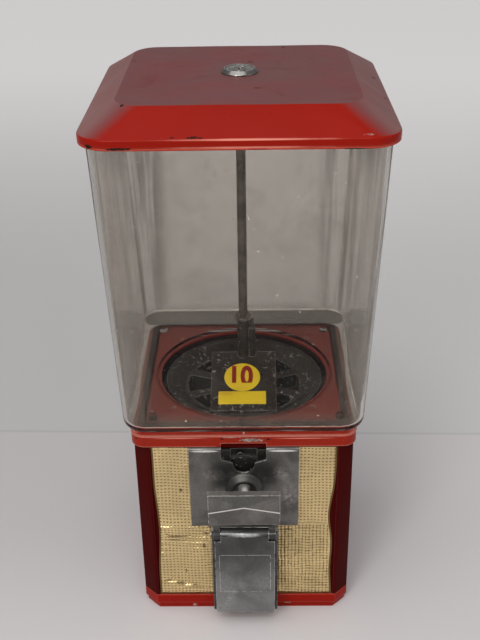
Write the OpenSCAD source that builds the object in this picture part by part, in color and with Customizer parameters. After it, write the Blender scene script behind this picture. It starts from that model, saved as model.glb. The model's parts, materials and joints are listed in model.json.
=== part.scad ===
// Bulk gumball machine: a clear globe on a square cabinet, with a coin mechanism,
// a geared dispensing wheel, a ball chute with a flap door and a locking lid.
// The origin is the centre of the base's underside. The front faces -Y and +Z is up.

/* [Cabinet] */
// Width and depth of the cabinet across its flats
cabinet_w = 153.4; // [151:0.2:170]
// Cut across each upright corner, measured along a flat
corner_cut = 9.5; // [7:0.5:12]
// Thickness of the cabinet's sheet steel
sheet_t = 1.5; // [1.2:0.1:1.8]
// Height of the front opening's top edge above the surface the machine stands on
window_top = 149.5; // [148:0.5:150]
// Width of the lip that the front opening leaves beside each corner
window_lip = 2; // [1.5:0.1:3]
// Thickness of the front panel
panel_t = 1.5; // [1:0.1:1.8]
// Thickness of the embossed foil on the front panel
foil_t = 0.5; // [0.3:0.1:0.8]

/* [Base] */
// Height of the base plate
base_h = 13.5; // [12.5:0.5:14]
// Height of the narrower lip that the base stands on
base_lip_h = 5.5; // [3:0.5:7]
// How far the lip is set in from the cabinet's faces
base_lip_inset = 1.4; // [0.5:0.1:3]
// Thickness of the base's floor
base_floor_t = 3; // [2:0.5:4]
// Thickness of the base's rim
base_wall = 5; // [4:0.5:6]
// Height of the rim that locates the cabinet on the base
locating_h = 4; // [3:0.5:6]
// Diameter of the tapped boss that the centre rod screws into
boss_d = 22; // [20:1:30]
// Height of the tapped boss above the base's underside
boss_h = 10; // [8:0.5:12]
// Distance between the stand bolt holes, both ways
bolt_spacing = 100; // [80:1:110]
// Diameter of the stand bolt holes
bolt_d = 6.6; // [5:0.1:9]

/* [Hopper pan] */
// Height of the pan's top face
pan_z = 164; // [163:0.2:172]
// Thickness of the pan's sheet
pan_t = 1.6; // [1.2:0.1:2]
// Height from the skirt's lower edge to the pan's top face
skirt_h = 13; // [12:0.2:13.6]
// Thickness of the skirt
skirt_t = 1; // [0.8:0.1:1.3]
// Distance of the shoulder's lower edge below the pan's top face
crease_drop = 4.6; // [4.2:0.1:6]
// Width of the sloping shoulder between the pan's top face and its skirt
shoulder_w = 4.9; // [3:0.1:5.4]
// How far the shoulder stands out over the skirt
crease_step = 0.4; // [0.2:0.1:1]
// Radius of the pan's upright corners
pan_corner_r = 10; // [9:0.5:12]
// Width of the notch over the coin slot
notch_w = 31.2; // [28:0.2:34]
// Height of the notch over the coin slot
notch_h = 2.7; // [1:0.1:5]
// Width of the pan from the cabinet's inner face to the round opening
rim_margin = 13.2; // [12.4:0.2:14.6]
// Depth of the rim turned down round the opening
rim_h = 7.6; // [5:0.1:9]

/* [Dispensing wheel] */
// How far the pan's round opening stands clear of the wheel, all round
wheel_margin = 4; // [3.5:0.1:5]
// Thickness of the wheel
wheel_t = 11.3; // [10:0.1:11.8]
// Height of the wheel's dished edge above its face
wheel_rim_h = 6.4; // [5:0.1:6.6]
// Width of the level top of the wheel's dished edge
wheel_rim_w = 4; // [2:0.5:6]
// Width of the wheel's level face outside the pockets
wheel_ledge = 2; // [1:0.5:3]
// Number of ball pockets
pocket_count = 8; // [6:2:10]
// Radius of the pockets' inner end
pocket_inner_r = 18; // [17:0.5:20]
// Width of the wheel's solid band outside the pockets
wheel_band = 16; // [14:0.5:18]
// Width of the ribs between the pockets
rib_w = 8; // [6:0.5:10]
// Diameter of the wheel's raised hub
hub_d = 27; // [20:1:32]
// Height of the hub above the wheel
hub_h = 2.5; // [1:0.5:3]
// Gap between the wheel's rim and the bowl
wheel_gap = 0.8; // [0.5:0.1:1]
// Thickness of the bowl's sheet
bowl_t = 1.6; // [1.2:0.1:1.8]
// How much narrower the hole in the bowl is than the chute under it
exit_step = 2; // [2:0.2:5]

/* [Gear train] */
// Height of the handle shaft
shaft_z = 116; // [114:0.5:117]
// Diameter of the handle shaft
shaft_d = 7; // [6:0.5:8]
// Module of the drive gear and the output gear
gear_module = 1.5; // [1.4:0.05:1.5]
// Teeth on the drive gear, and on the output gear
gear_teeth = 12; // [12:1:12]
// Face width of the drive gear and the output gear
gear_t = 5; // [3:0.5:6]
// Diameter of the output shaft
output_d = 5; // [4:0.5:6]
// Distance from the wheel's edge to the pitch circle of its gear ring
ring_margin = 5.2; // [4.8:0.1:6]
// Teeth on the wheel pinion
pinion_teeth = 8; // [8:1:8]
// Teeth on the wheel's gear ring
ring_teeth = 64; // [64:1:64]
// Face width of the wheel pinion and the gear ring
ring_face = 5.5; // [4:0.5:5.5]
// Radial clearance of a shaft in its bearing
running_gap = 0.05; // [0.02:0.01:0.09]
// Clearance between parts that pass or face each other
free_gap = 0.3; // [0.2:0.05:0.4]

/* [Ratchet] */
// Angle that the pawl is lifted by, riding over the crest of a tooth
pawl_lift = 8; // [7:0.5:9]
// Depth of the ratchet's teeth
ratchet_tooth = 1.6; // [1:0.1:2]
// Thickness of the ratchet and the pawl
ratchet_t = 3; // [2:0.5:3.5]
// Diameter of the pawl's pin
pawl_pin_d = 3.2; // [2.5:0.1:4]
// Radius of the pawl spring's wire
spring_wire_r = 0.4; // [0.3:0.05:0.5]

/* [Coin mechanism] */
// Width of the faceplate
face_w = 76.6; // [74:0.2:80]
// Height of the faceplate's lower edge
face_bottom = 82.7; // [81:0.1:84]
// Height of the faceplate's upper edge
face_top = 150.4; // [149.6:0.1:150.6]
// How far the faceplate stands out from the cabinet's flats
face_proud = 3; // [2.8:0.1:4]
// Thickness of the faceplate's wall
face_t = 1.6; // [1.2:0.1:2]
// Radius along the faceplate's upper edge
face_edge_r = 2; // [1:0.5:2]
// Width of the coin recess at the top of the faceplate
recess_w = 31.2; // [30:0.2:34]
// Height of the coin recess's outer corners
recess_z = 140.9; // [140:0.1:143]
// Diameter of the finger notch below the recess
finger_d = 15; // [13:0.5:17]
// Height of the finger notch's centre
finger_z = 137.4; // [136:0.1:138]
// Diameter of the coin
coin_d = 17.9; // [17:0.1:19]
// Thickness of the coin
coin_t = 1.35; // [1.2:0.05:1.6]
// Radius of the coin wheel
coin_wheel_r = 25; // [24:0.5:26]
// Thickness of the coin wheel
coin_wheel_t = 3.6; // [3:0.1:4]
// Distance of the coin's centre from the shaft
coin_reach = 20; // [19:0.5:21]
// Thickness of the mechanism's back plate
back_t = 5; // [4:0.5:5]
// Width of the mechanism's back plate
back_w = 59; // [56:1:60]
// Height of the opening in the panel behind the faceplate
mech_hole_h = 61; // [60:0.5:62]
// Diameter of the posts between the faceplate and the back plate
post_d = 5.2; // [4:0.2:6]
// Diameter of the mechanism screws and of the chute screws
screw_d = 3; // [2.5:0.1:3.2]

/* [Handle] */
// Length of the handle's bar
handle_w = 49.2; // [44:0.2:50]
// Height of the handle's bar
handle_h = 25.2; // [22:0.2:26]
// Thickness of the bar at its edges
handle_t = 5; // [3:0.5:7]
// How far the ridge stands out from the bar's edges
ridge_h = 3.2; // [1:0.1:5]
// How far the ridge's middle is above its ends
ridge_rise = 4.8; // [0:0.1:6]
// Gap between the faceplate and the back of the bar
handle_gap = 18.7; // [17:0.1:24]
// Diameter of the handle's neck
neck_d = 15; // [12:0.5:18]
// Diameter of the dished bush round the shaft
bush_d = 27; // [24:0.5:30]
// How far the bush stands out from the faceplate
bush_h = 4; // [3:0.5:6]

/* [Chute] */
// Width of the chute housing
chute_w = 46.6; // [44:0.2:50]
// Thickness of the chute housing's walls
chute_t = 1.5; // [1:0.1:2]
// Height of the chute housing's underside
chute_bottom = 15; // [14.4:0.2:17]
// Height of the chute housing's top
chute_top = 92; // [91:0.2:93]
// How far the door stands out from the cabinet's flats
door_proud = 18; // [16:0.1:20]
// Height of the door's hinge
hinge_z = 83.5; // [82:0.1:84]
// Radius of the door's rolled top
roll_r = 5; // [4:0.1:6]
// Diameter of the door's hinge pin
pin_d = 3; // [2:0.1:4]
// Width of the door
door_w = 42.8; // [41:0.2:43]
// Height of the door's lower edge
door_bottom = 13.2; // [12:0.2:14]
// Thickness of the door
door_t = 1.1; // [0.8:0.1:1.4]
// Width inside the ball chute
duct_w = 25; // [24:0.5:26]
// Height at which the ball chute's back wall starts to slope
duct_bend_z = 66; // [60:1:72]
// Height of the ball chute's mouth at its lower edge
mouth_low = 18; // [17:0.5:22]
// Height of the ball chute's mouth at its upper edge
mouth_high = 79; // [74:0.5:80]

/* [Globe] */
// Width of the globe at its open top
globe_top_w = 181.6; // [176:0.2:190]
// Width of the globe at its base
globe_base_w = 165.6; // [160:0.2:172]
// Height of the globe
globe_h = 210.9; // [180:0.1:240]
// Wall thickness of the globe
globe_t = 2.5; // [2:0.1:3]
// Radius of the globe's upright corners at its base
globe_corner_r = 16; // [13:0.5:18]
// Radius round the globe's lower edge
globe_edge_r = 15; // [9:0.5:15.5]

/* [Lid] */
// How far the lid reaches out over the globe's top, each side
lid_overhang = 4.2; // [3.4:0.1:6]
// Thickness of the lid's sheet
lid_t = 1.5; // [1.2:0.1:1.6]
// Height of the lid's upright skirt
lid_skirt_h = 6.4; // [5:0.1:9]
// Height of the lid's sloping facets
lid_rise = 14; // [12:0.5:18]
// Width of the lid's sloping facets, seen from above
lid_slope_w = 21.5; // [18:0.5:26]
// Radius of the lid's upright corners
lid_corner_r = 20.8; // [19:0.1:24]
// Diameter of the lock's dished ring
lock_ring_d = 24; // [20:0.5:28]
// Height of the lock's dished ring
lock_ring_h = 3; // [2:0.1:4]
// Diameter of the lock barrel
lock_barrel_d = 16; // [14:0.5:17]
// Diameter of the lock's turning cylinder
lock_plug_d = 9; // [8:0.5:10]
// How far the lock barrel hangs below the lid's top face
lock_barrel_drop = 17; // [16:0.5:18]

/* [Centre rod and brush housing] */
// Diameter of the centre rod
rod_d = 6.4; // [6:0.1:7]
// Width of the brush housing
hood_w = 47; // [42:0.5:48]
// Gap between the brush housing's front and the pan's round opening
hood_margin = 11.5; // [10:0.5:14]
// Height of the brush housing's back edge above the wheel
hood_back_h = 26.2; // [24:0.1:30]
// Height of the brush housing's front edge above the wheel
hood_front_h = 8.6; // [7:0.1:10]
// Wall thickness of the brush housing
hood_t = 1.8; // [1.4:0.1:2.2]
// Height of the post over the brush housing's back edge
post_h = 30.4; // [24:0.1:36]
// Diameter of the post round the rod
sleeve_d = 8.8; // [8.6:0.1:10]
// Diameter of the push nut on the rod
push_nut_d = 13; // [11:0.5:14]
// Diameter of the round label
label_d = 26; // [22:0.5:28]
// Width of the rectangular label
plate_label_w = 34; // [28:0.5:38]
// Height of the rectangular label along the housing's slope
plate_label_h = 11.6; // [9:0.1:12]

/* [Hidden] */
$fn = 64;

// A length that a cutter runs past the faces it cuts
past = 1;
// Press clearance between a part and the shaft it is fixed on
snug = 0.03;

// Cabinet
cab = cabinet_w / 2;
inner = cab - sheet_t;
inner_cut = corner_cut - sheet_t * (2 - sqrt(2));
window_half = cab - corner_cut - window_lip;
cab_top = pan_z - crease_drop;
plate_low = pan_z - pan_t;
panel_half = inner - inner_cut - free_gap;
panel_back = -inner + panel_t;
foil_front = -inner - foil_t;
panel_top = window_top + 3;

// Skirt of the hopper pan
skirt_half = cab + free_gap + skirt_t;
skirt_low = pan_z - skirt_h;

// Gear train
gear_pitch_r = gear_module * gear_teeth / 2;
output_z = shaft_z + 2 * gear_pitch_r;
rim_inner_r = inner - rim_margin;
wheel_r = rim_inner_r - wheel_margin;
ring_r = wheel_r - ring_margin;
ring_module = 2 * ring_r / ring_teeth;
pinion_pitch_r = ring_module * pinion_teeth / 2;
ring_addendum = 1.4;
ring_web = 0.5;
pinion_tip_r = pinion_pitch_r + ring_addendum;
ring_tip_z = output_z + pinion_pitch_r - ring_addendum;
pinion_y = -ring_r - ring_face / 2;

// Wheel and bowl
wheel_z = output_z + pinion_tip_r + free_gap + ring_web;
wheel_top = wheel_z + wheel_t;
bowl_floor_z = wheel_z - free_gap;
bowl_floor_low = bowl_floor_z - bowl_t - 0.2;
ring_inner_r = ring_r - ring_face / 2;
step_r = ring_inner_r - 1.2;
channel_z = ring_tip_z - 0.6;
channel_low = channel_z - bowl_t;
bowl_inner_r = wheel_r + wheel_gap;
bowl_outer_r = bowl_inner_r + bowl_t;
bowl_step_z = wheel_top - 1.5;
rim_outer_r = rim_inner_r + pan_t;
upper_r = rim_outer_r + free_gap + 0.6;
flange_r = inner - 2;
bowl_screw_at = (upper_r + bowl_t + flange_r) / 2 / sqrt(2);
pocket_outer_r = wheel_r - wheel_band;
dish_r = pocket_outer_r + wheel_ledge;
duct_d = pocket_outer_r - pocket_inner_r;
exit_d = duct_d - exit_step;
exit_at = (pocket_inner_r + pocket_outer_r) / 2 + 1;

// Coin mechanism, from the front to the back
face_half = face_w / 2;
face_front = -cab - face_proud;
face_inner = face_front + face_t;
coin_wheel_y = face_inner + free_gap;
gear_y = coin_wheel_y + coin_wheel_t + 1.6;
back_y = gear_y + gear_t + 0.7;
back_rear = back_y + back_t;
ratchet_y = back_rear + 0.4;
ratchet_rear = ratchet_y + ratchet_t;
nut_t = 4;
mech_hole_half = back_w / 2 + 0.5;
mech_hole_low = face_bottom + face_t + 1.7;
mech_hole_high = mech_hole_low + mech_hole_h;
back_low = mech_hole_low + 0.5;
back_high = mech_hole_high - 0.5;
boss_x = (mech_hole_half + face_half - face_t) / 2;
boss_r = screw_d / 2 + 1.3;
boss_z = [mech_hole_low + 3.5, mech_hole_high - 4];
post_x = back_w / 2 - 4;
post_z = [back_low + 4, back_high - 3.5];
coin_centre_z = shaft_z + coin_reach;
coin_pocket_r = coin_d / 2 + 0.25;
coin_pocket_t = coin_t + 0.35;
guide_low = shaft_z + coin_wheel_r + 0.6;
guide_high = window_top - 1.1;
cavity_top = face_top - face_edge_r - face_t;
ratchet_teeth = 24;
bearing_r = output_d / 2 + 2;
ratchet_r = output_z - shaft_z - bearing_r - 0.5;
ratchet_root_r = ratchet_r - ratchet_tooth;
pawl_x = ratchet_r + 1.5;
pawl_z = 14;
pawl_hub_r = pawl_pin_d / 2 + 1.8;
spring_pitch = 1.7;

// Handle
handle_back = face_front - handle_gap;
bush_front = face_front - bush_h;

// Chute
chute_half = chute_w / 2;
door_front = -cab - door_proud;
hinge_y = door_front + roll_r;
chute_front = door_front + door_t + free_gap;
flange_x = chute_half - chute_t - 0.4;
roll_half = 17;
lug_r = roll_r - 0.5;
duct_half = duct_w / 2 + chute_t;
duct_back_y = -exit_at + duct_d / 2 + chute_t;
duct_front_y = -exit_at - duct_d / 2 - chute_t;
duct_neck_z = mouth_high + 7;
duct_slope = atan2(duct_bend_z - mouth_low, duct_back_y - panel_back);
neck_slope = atan2(duct_neck_z - mouth_high, duct_front_y - panel_back);
chute_screw_x = (duct_half + flange_x) / 2 + 0.4;
chute_screw_z = [chute_bottom + 9, hinge_z - 12];

// Globe and lid
globe_top = pan_z + globe_h;
lid_half = globe_top_w / 2 + lid_overhang;
lid_crease_z = globe_top + 0.1;
lid_low = lid_crease_z - lid_skirt_h;
lid_top = lid_crease_z + lid_rise;
lid_top_half = lid_half - lid_slope_w;
lid_top_r = lid_corner_r - 6;
lock_low = lid_top - lock_barrel_drop;
lock_step_z = lid_top - 8;
plug_top = lid_top + lock_ring_h - 0.6;

// Rod and brush housing
rod_low = base_floor_t;
rod_top = lock_step_z - 1;
foot_washer_t = 1.2;
foot_nut_t = 5;
hood_reach = rim_inner_r - hood_margin;
hood_low = wheel_top + hub_h + 1;
hood_back_y = 2;
hood_back_z = wheel_top + hood_back_h;
hood_front_z = wheel_top + hood_front_h;
hood_tilt = atan2(hood_back_z - hood_front_z, hood_reach + hood_back_y);
sleeve_top = hood_back_z + post_h;
push_nut_t = 1.4;
clamp_x = 6.2;
clamp_r = 2.8;
clamp_pin_r = 1.3;
clamp_top = sleeve_top - 8.5;
clamp_pin_seat = 8;
brush_t = 2.5;
brush_h = 6;
brush_lift = 0.4;
brush_front = hood_reach + 0.3 - sqrt(pow(dish_r, 2) - pow(hood_w / 2, 2));
brush_back = 6;
label_t = 0.3;
label_y = -0.4257 * hood_reach;
plate_label_y = label_y - (label_d + plate_label_h) / 2 * cos(hood_tilt) - 0.2;

red = [0.55, 0.1, 0.06];
dark_red = [0.28, 0.03, 0.03];
gold = [0.75, 0.62, 0.36];
chrome = [0.6, 0.6, 0.58];
steel = [0.5, 0.5, 0.48];
zinc = [0.26, 0.26, 0.25];
clear = [0.8, 0.85, 0.85, 0.35];
yellow = [0.9, 0.76, 0.1];

// Square with its four corners cut off
module cut_square(half, cut) {
    far = half - cut;
    polygon([[half, far], [far, half], [-far, half], [-half, far],
             [-half, -far], [-far, -half], [far, -half], [half, -far]]);
}

// Square with round corners
module round_square(half, r) {
    square([2 * (half - r), 2 * half], center = true);
    square([2 * half, 2 * (half - r)], center = true);
    for (x = [-1, 1], y = [-1, 1])
        translate([x * (half - r), y * (half - r)]) circle(r);
}

// Extrudes a flat shape from one height to another
module between_z(low, high) {
    translate([0, 0, low]) linear_extrude(high - low) children();
}

// Extrudes a shape drawn in X and Z from one depth to another
module between_y(front, back) {
    translate([0, back, 0]) rotate([90, 0, 0]) linear_extrude(back - front) children();
}

// Extrudes a shape drawn in Y and Z across the middle, to a half width each side
module across_x(half) {
    translate([-half, 0, 0]) rotate([90, 0, 90]) linear_extrude(2 * half) children();
}

// Box given by two opposite corners
module box(low, high) {
    translate(low) cube(high - low);
}

// Hexagon across a nut's corners
module hexagon(r) {
    circle(r, $fn = 6);
}

// One trapezoid tooth of a gear, as points turned clockwise by an angle from straight up
function tooth_points(turn, root, tip, root_w, tip_w) = [
    for (p = [[-root_w / 2, root], [-tip_w / 2, tip], [tip_w / 2, tip], [root_w / 2, root]])
        [p[0] * cos(turn) + p[1] * sin(turn), p[1] * cos(turn) - p[0] * sin(turn)]
];

// Outline of a gear with a tooth at a first angle from straight up
module gear_outline(teeth, root, tip, root_w, tip_w, first = 0) {
    polygon([for (i = [0 : teeth - 1])
        each tooth_points(first + 360 * i / teeth, root, tip, root_w, tip_w)]);
}

module base_plate() {
    lip = cab - base_lip_inset;
    color(red) difference() {
        union() {
            between_z(0, base_lip_h + past) cut_square(lip, corner_cut);
            between_z(base_lip_h, base_h) cut_square(cab, corner_cut);
            between_z(base_h - past, base_h + locating_h)
                cut_square(inner - free_gap, inner_cut);
        }
        difference() {
            between_z(base_floor_t, base_h) cut_square(cab - base_wall, inner_cut);
            cylinder(h = boss_h, r = boss_d / 2);
        }
        between_z(base_h, base_h + locating_h + past)
            cut_square(inner - free_gap - sheet_t, inner_cut);
        box([-cab, -cab, base_h], [cab, panel_back + free_gap, base_h + locating_h + past]);
        translate([0, 0, base_floor_t]) cylinder(h = base_h, r = rod_d / 2 + snug);
        for (x = [-1, 1], y = [-1, 1])
            translate([x * bolt_spacing / 2, y * bolt_spacing / 2, -past])
                cylinder(h = base_floor_t + 2 * past, r = bolt_d / 2);
    }
}

module body_shell() {
    color(dark_red) difference() {
        between_z(base_h, cab_top) cut_square(cab, corner_cut);
        between_z(base_h - past, cab_top + past) cut_square(inner, inner_cut);
        box([-window_half, -cab - past, base_h - past], [window_half, -inner + past, window_top]);
    }
}

// Holes that the mechanism, the ball chute and their screws need through the front
module front_holes(front, back) {
    between_y(front - past, back + past) {
        translate([-mech_hole_half, mech_hole_low]) square([2 * mech_hole_half, mech_hole_h]);
        translate([-duct_w / 2, mouth_low + 2])
            square([duct_w, mouth_high - mouth_low - 4]);
        for (x = [-1, 1], z = boss_z) translate([x * boss_x, z]) circle(screw_d / 2 + 0.1);
        for (x = [-1, 1], z = chute_screw_z)
            translate([x * chute_screw_x, z]) circle(screw_d / 2 + 0.1);
    }
}

module front_panel() {
    color(steel) difference() {
        box([-panel_half, -inner, base_h], [panel_half, panel_back, panel_top]);
        front_holes(-inner, panel_back);
    }
}

module front_foil() {
    half = window_half - free_gap;
    color(gold) difference() {
        box([-half, foil_front, base_h], [half, -inner, window_top - free_gap]);
        front_holes(foil_front, -inner);
    }
}

module hopper_pan() {
    color(red) difference() {
        union() {
            hull() {
                slice(skirt_half + crease_step, pan_corner_r + crease_step, cab_top);
                slice(skirt_half + crease_step - shoulder_w, pan_corner_r - 2, pan_z - 0.01);
            }
            between_z(skirt_low, cab_top + past) round_square(skirt_half, pan_corner_r);
        }
        difference() {
            union() {
                between_z(skirt_low - past, cab_top)
                    round_square(cab + free_gap, pan_corner_r - sheet_t);
                between_z(cab_top - past, plate_low) circle(flange_r + free_gap);
            }
            cylinder(h = pan_z, r = rim_outer_r);
        }
        cylinder(h = pan_z - rim_h, r = rim_outer_r + past);
        cylinder(h = pan_z + past, r = rim_inner_r);
        box([-notch_w / 2, -cab - 3, skirt_low - past],
            [notch_w / 2, -cab + past, skirt_low + notch_h]);
        for (x = [-1, 1], y = [-1, 1])
            translate([x * bowl_screw_at, y * bowl_screw_at, plate_low - past])
                cylinder(h = pan_t + 2 * past, r = screw_d / 2 + 0.1);
    }
}

module wheel_bowl() {
    upper_outer = upper_r + bowl_t;
    color(zinc) difference() {
        rotate_extrude() polygon([
            [rod_d / 2 + 0.2, bowl_floor_low], [step_r - bowl_t, bowl_floor_low],
            [step_r - bowl_t, channel_low], [bowl_outer_r, channel_low],
            [bowl_outer_r, bowl_step_z - bowl_t], [upper_outer, bowl_step_z - bowl_t],
            [upper_outer, plate_low - bowl_t], [flange_r, plate_low - bowl_t],
            [flange_r, plate_low], [upper_r, plate_low],
            [upper_r, bowl_step_z], [bowl_inner_r, bowl_step_z],
            [bowl_inner_r, channel_z], [step_r, channel_z],
            [step_r, bowl_floor_z], [rod_d / 2 + 0.2, bowl_floor_z]
        ]);
        translate([0, -exit_at, bowl_floor_low - past]) cylinder(h = bowl_t + 3, r = exit_d / 2);
        box([-pinion_tip_r - 4, -bowl_outer_r - past, channel_low - past],
            [pinion_tip_r + 4, -step_r - 0.4, pinion_tip_r + output_z + 4]);
        for (x = [-1, 1], y = [-1, 1])
            translate([x * bowl_screw_at, y * bowl_screw_at, plate_low - bowl_t - past])
                cylinder(h = bowl_t + 2 * past, r = screw_d / 2 + 0.1);
    }
}

module bowl_screws() {
    head_z = plate_low - bowl_t;
    color(steel) for (x = [-1, 1], y = [-1, 1])
        translate([x * bowl_screw_at, y * bowl_screw_at, 0]) {
            translate([0, 0, head_z - 2]) cylinder(h = 2, r = screw_d);
            translate([0, 0, head_z - 1]) cylinder(h = bowl_t + pan_t + 0.9, r = screw_d / 2);
        }
}

// Thin slice of the globe or the lid, for a hull
module slice(half, r, z) {
    between_z(z, z + 0.01) round_square(half, r, $fn = 32);
}

module globe() {
    base_half = globe_base_w / 2;
    top_half = globe_top_w / 2;
    color(clear) difference() {
        hull() {
            for (a = [0 : 15 : 90])
                slice(base_half - globe_edge_r * (1 - sin(a)), globe_corner_r - globe_edge_r * (1 - sin(a)),
                      pan_z + globe_edge_r * (1 - cos(a)));
            slice(top_half, globe_corner_r + 1, globe_top - 0.01);
        }
        hull() {
            for (a = [0 : 15 : 90])
                slice(base_half - globe_t - (globe_edge_r - globe_t) * (1 - sin(a)),
                      globe_corner_r - globe_t - (globe_edge_r - globe_t) * (1 - sin(a)),
                      pan_z + globe_t + (globe_edge_r - globe_t) * (1 - cos(a)));
            slice(top_half - globe_t, globe_corner_r + 1 - globe_t, globe_top + past);
        }
        translate([0, 0, pan_z - past]) cylinder(h = globe_t + 2 * past, r = rim_outer_r + 1);
    }
}

module centre_rod() {
    color(steel) between_z(rod_low, rod_top) circle(rod_d / 2);
}

module foot_washer() {
    color(steel) between_z(boss_h, boss_h + foot_washer_t) difference() {
        circle(rod_d * 1.4);
        circle(rod_d / 2 + 0.2);
    }
}

module foot_nut() {
    low = boss_h + foot_washer_t;
    color(steel) between_z(low, low + foot_nut_t) difference() {
        hexagon(rod_d);
        circle(rod_d / 2 + snug, $fn = 64);
    }
}

module push_nut() {
    color(steel) between_z(sleeve_top, sleeve_top + push_nut_t) difference() {
        circle(push_nut_d / 2);
        circle(rod_d / 2 + snug);
    }
}

// Outline of the brush housing from the side, drawn in Y and Z and set in by a wall
module hood_side(wall, low) {
    top_wall = wall / cos(hood_tilt);
    rise = tan(hood_tilt);
    polygon([
        [hood_back_y - wall, low], [hood_back_y - wall, hood_back_z - wall * rise - top_wall],
        [-hood_reach + wall, hood_front_z + wall * rise - top_wall], [-hood_reach + wall, low]
    ]);
}

module brush_housing() {
    color(zinc) difference() {
        union() {
            difference() {
                across_x(hood_w / 2) hood_side(0, hood_low);
                across_x(hood_w / 2 - hood_t) hood_side(hood_t, hood_low - past);
            }
            between_z(hood_low, sleeve_top) circle(sleeve_d / 2);
            between_z(hood_back_z - hood_t - 2, clamp_top) {
                translate([clamp_x, 0]) circle(clamp_r);
                translate([0, -clamp_r / 2]) square([clamp_x, clamp_r]);
            }
        }
        rotate_extrude() polygon([
            [dish_r, wheel_top - 1], [dish_r, wheel_top + 0.5],
            [wheel_r - wheel_rim_w, wheel_top + wheel_rim_h + 0.5],
            [rim_inner_r + past, wheel_top + wheel_rim_h + 0.5], [rim_inner_r + past, wheel_top - 1]
        ]);
        between_z(hood_low - past, sleeve_top + past) circle(rod_d / 2 + running_gap);
        translate([clamp_x, 0, clamp_top - clamp_pin_seat])
            cylinder(h = clamp_pin_seat + past, r = clamp_pin_r + snug);
    }
}

module clamp_pin() {
    color(steel) translate([clamp_x, 0, clamp_top - clamp_pin_seat])
        cylinder(h = sleeve_top - clamp_top + clamp_pin_seat, r = clamp_pin_r);
}

module brush_strips() {
    x0 = hood_w / 2 - hood_t;
    color([0.12, 0.11, 0.1]) for (side = [-1, 1]) {
        low = [side > 0 ? x0 - brush_t : -x0, -hood_reach + brush_front, wheel_top + brush_lift];
        box(low, low + [brush_t, hood_reach - brush_front - brush_back, brush_h]);
    }
}

// Places a flat piece on the brush housing's slope, at a depth
module on_slope(y) {
    z = hood_back_z + (y - hood_back_y) * tan(hood_tilt);
    translate([-1, y, z]) rotate([hood_tilt, 0, 0]) children();
}

module price_label() {
    color(yellow) on_slope(label_y) cylinder(h = label_t, r = label_d / 2);
}

module plain_label() {
    color(yellow) on_slope(plate_label_y)
        translate([-plate_label_w / 2, -plate_label_h / 2, 0])
            cube([plate_label_w, plate_label_h, label_t]);
}

// Front outline of the coin recess and its finger notch, drawn in X and Z
module recess_outline() {
    half = recess_w / 2;
    finger_r = finger_d / 2;
    polygon([[-half, face_top + past], [-half, recess_z], [-finger_r, finger_z + 0.6],
             [finger_r, finger_z + 0.6], [half, recess_z], [half, face_top + past]]);
    translate([0, finger_z]) circle(finger_r);
    translate([-finger_r, finger_z]) square([finger_d, past]);
}

// Outline of the faceplate from the side, drawn in Y and Z
module faceplate_side() {
    bend_y = face_front + face_edge_r;
    bend_z = face_top - face_edge_r;
    lip_y = -cab - free_gap;
    polygon([
        [face_front, face_bottom], [foil_front, face_bottom], [foil_front, bend_z], [lip_y, bend_z],
        [lip_y, face_top], [bend_y, face_top], [bend_y, bend_z], [face_front, bend_z]
    ]);
    translate([bend_y, bend_z]) circle(face_edge_r);
}

module mech_faceplate() {
    color(chrome) difference() {
        union() {
            difference() {
                across_x(face_half) faceplate_side();
                box([-face_half + face_t, face_inner, face_bottom + face_t],
                    [face_half - face_t, foil_front + past, cavity_top]);
                box([-face_half - past, -cab - free_gap, window_top - free_gap],
                    [face_half + past, foil_front + past, face_top + past]);
            }
            between_y(face_inner - past / 2, foil_front)
                for (x = [-1, 1], z = boss_z) translate([x * boss_x, z]) circle(boss_r);
        }
        between_y(face_front - past, foil_front + past) recess_outline();
        between_y(face_front - past, foil_front + past)
            translate([0, shaft_z]) circle(neck_d / 2);
        between_y(face_inner, foil_front + past)
            for (x = [-1, 1], z = boss_z) translate([x * boss_x, z]) circle(screw_d / 2 + snug);
    }
}

module shaft_bush() {
    lip_r = neck_d / 2 + 2.5;
    bore = shaft_d / 2 + running_gap;
    color(chrome) translate([0, face_front, shaft_z]) rotate([90, 0, 0]) difference() {
        union() {
            translate([0, 0, -face_t]) cylinder(h = face_t + past / 2, r = neck_d / 2 - snug);
            rotate_extrude() polygon([
                [0, 0], [bush_d / 2, 0], [bush_d / 2, 1], [lip_r, bush_h], [0, bush_h]
            ]);
        }
        translate([0, 0, -face_t - past]) cylinder(h = face_t + bush_h + 2 * past, r = bore);
    }
}

module coin_guide() {
    half = recess_w / 2 - free_gap;
    slot_y = coin_wheel_y + coin_pocket_t;
    color(zinc) difference() {
        union() {
            box([-half, face_inner, guide_low - 4], [half, foil_front - 0.2, guide_high]);
            box([-half - 4, face_inner, guide_low - 4],
                [half + 4, foil_front - 0.2, cavity_top - free_gap]);
        }
        box([-coin_pocket_r, face_inner - past, guide_low - 5],
            [coin_pocket_r, slot_y, guide_high + past]);
        between_y(face_inner - past, foil_front + past)
            translate([0, shaft_z]) circle(coin_wheel_r + 0.5);
    }
}

module mech_posts() {
    color(steel) between_y(face_inner, back_y)
        for (x = [-1, 1], z = post_z) translate([x * post_x, z]) circle(post_d / 2);
}

module mech_back_plate() {
    boss_end = pinion_y - 0.6;
    color(zinc) difference() {
        union() {
            between_y(back_y, back_rear)
                translate([-back_w / 2, back_low]) square([back_w, back_high - back_low]);
            between_y(back_rear - past, boss_end)
                translate([0, output_z]) circle(bearing_r);
        }
        between_y(back_y - past, boss_end + past) {
            translate([0, output_z]) circle(output_d / 2 + running_gap);
            translate([0, shaft_z]) circle(shaft_d / 2 + running_gap);
            translate([pawl_x, shaft_z + pawl_z]) circle(pawl_pin_d / 2 + snug);
        }
    }
}

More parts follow.
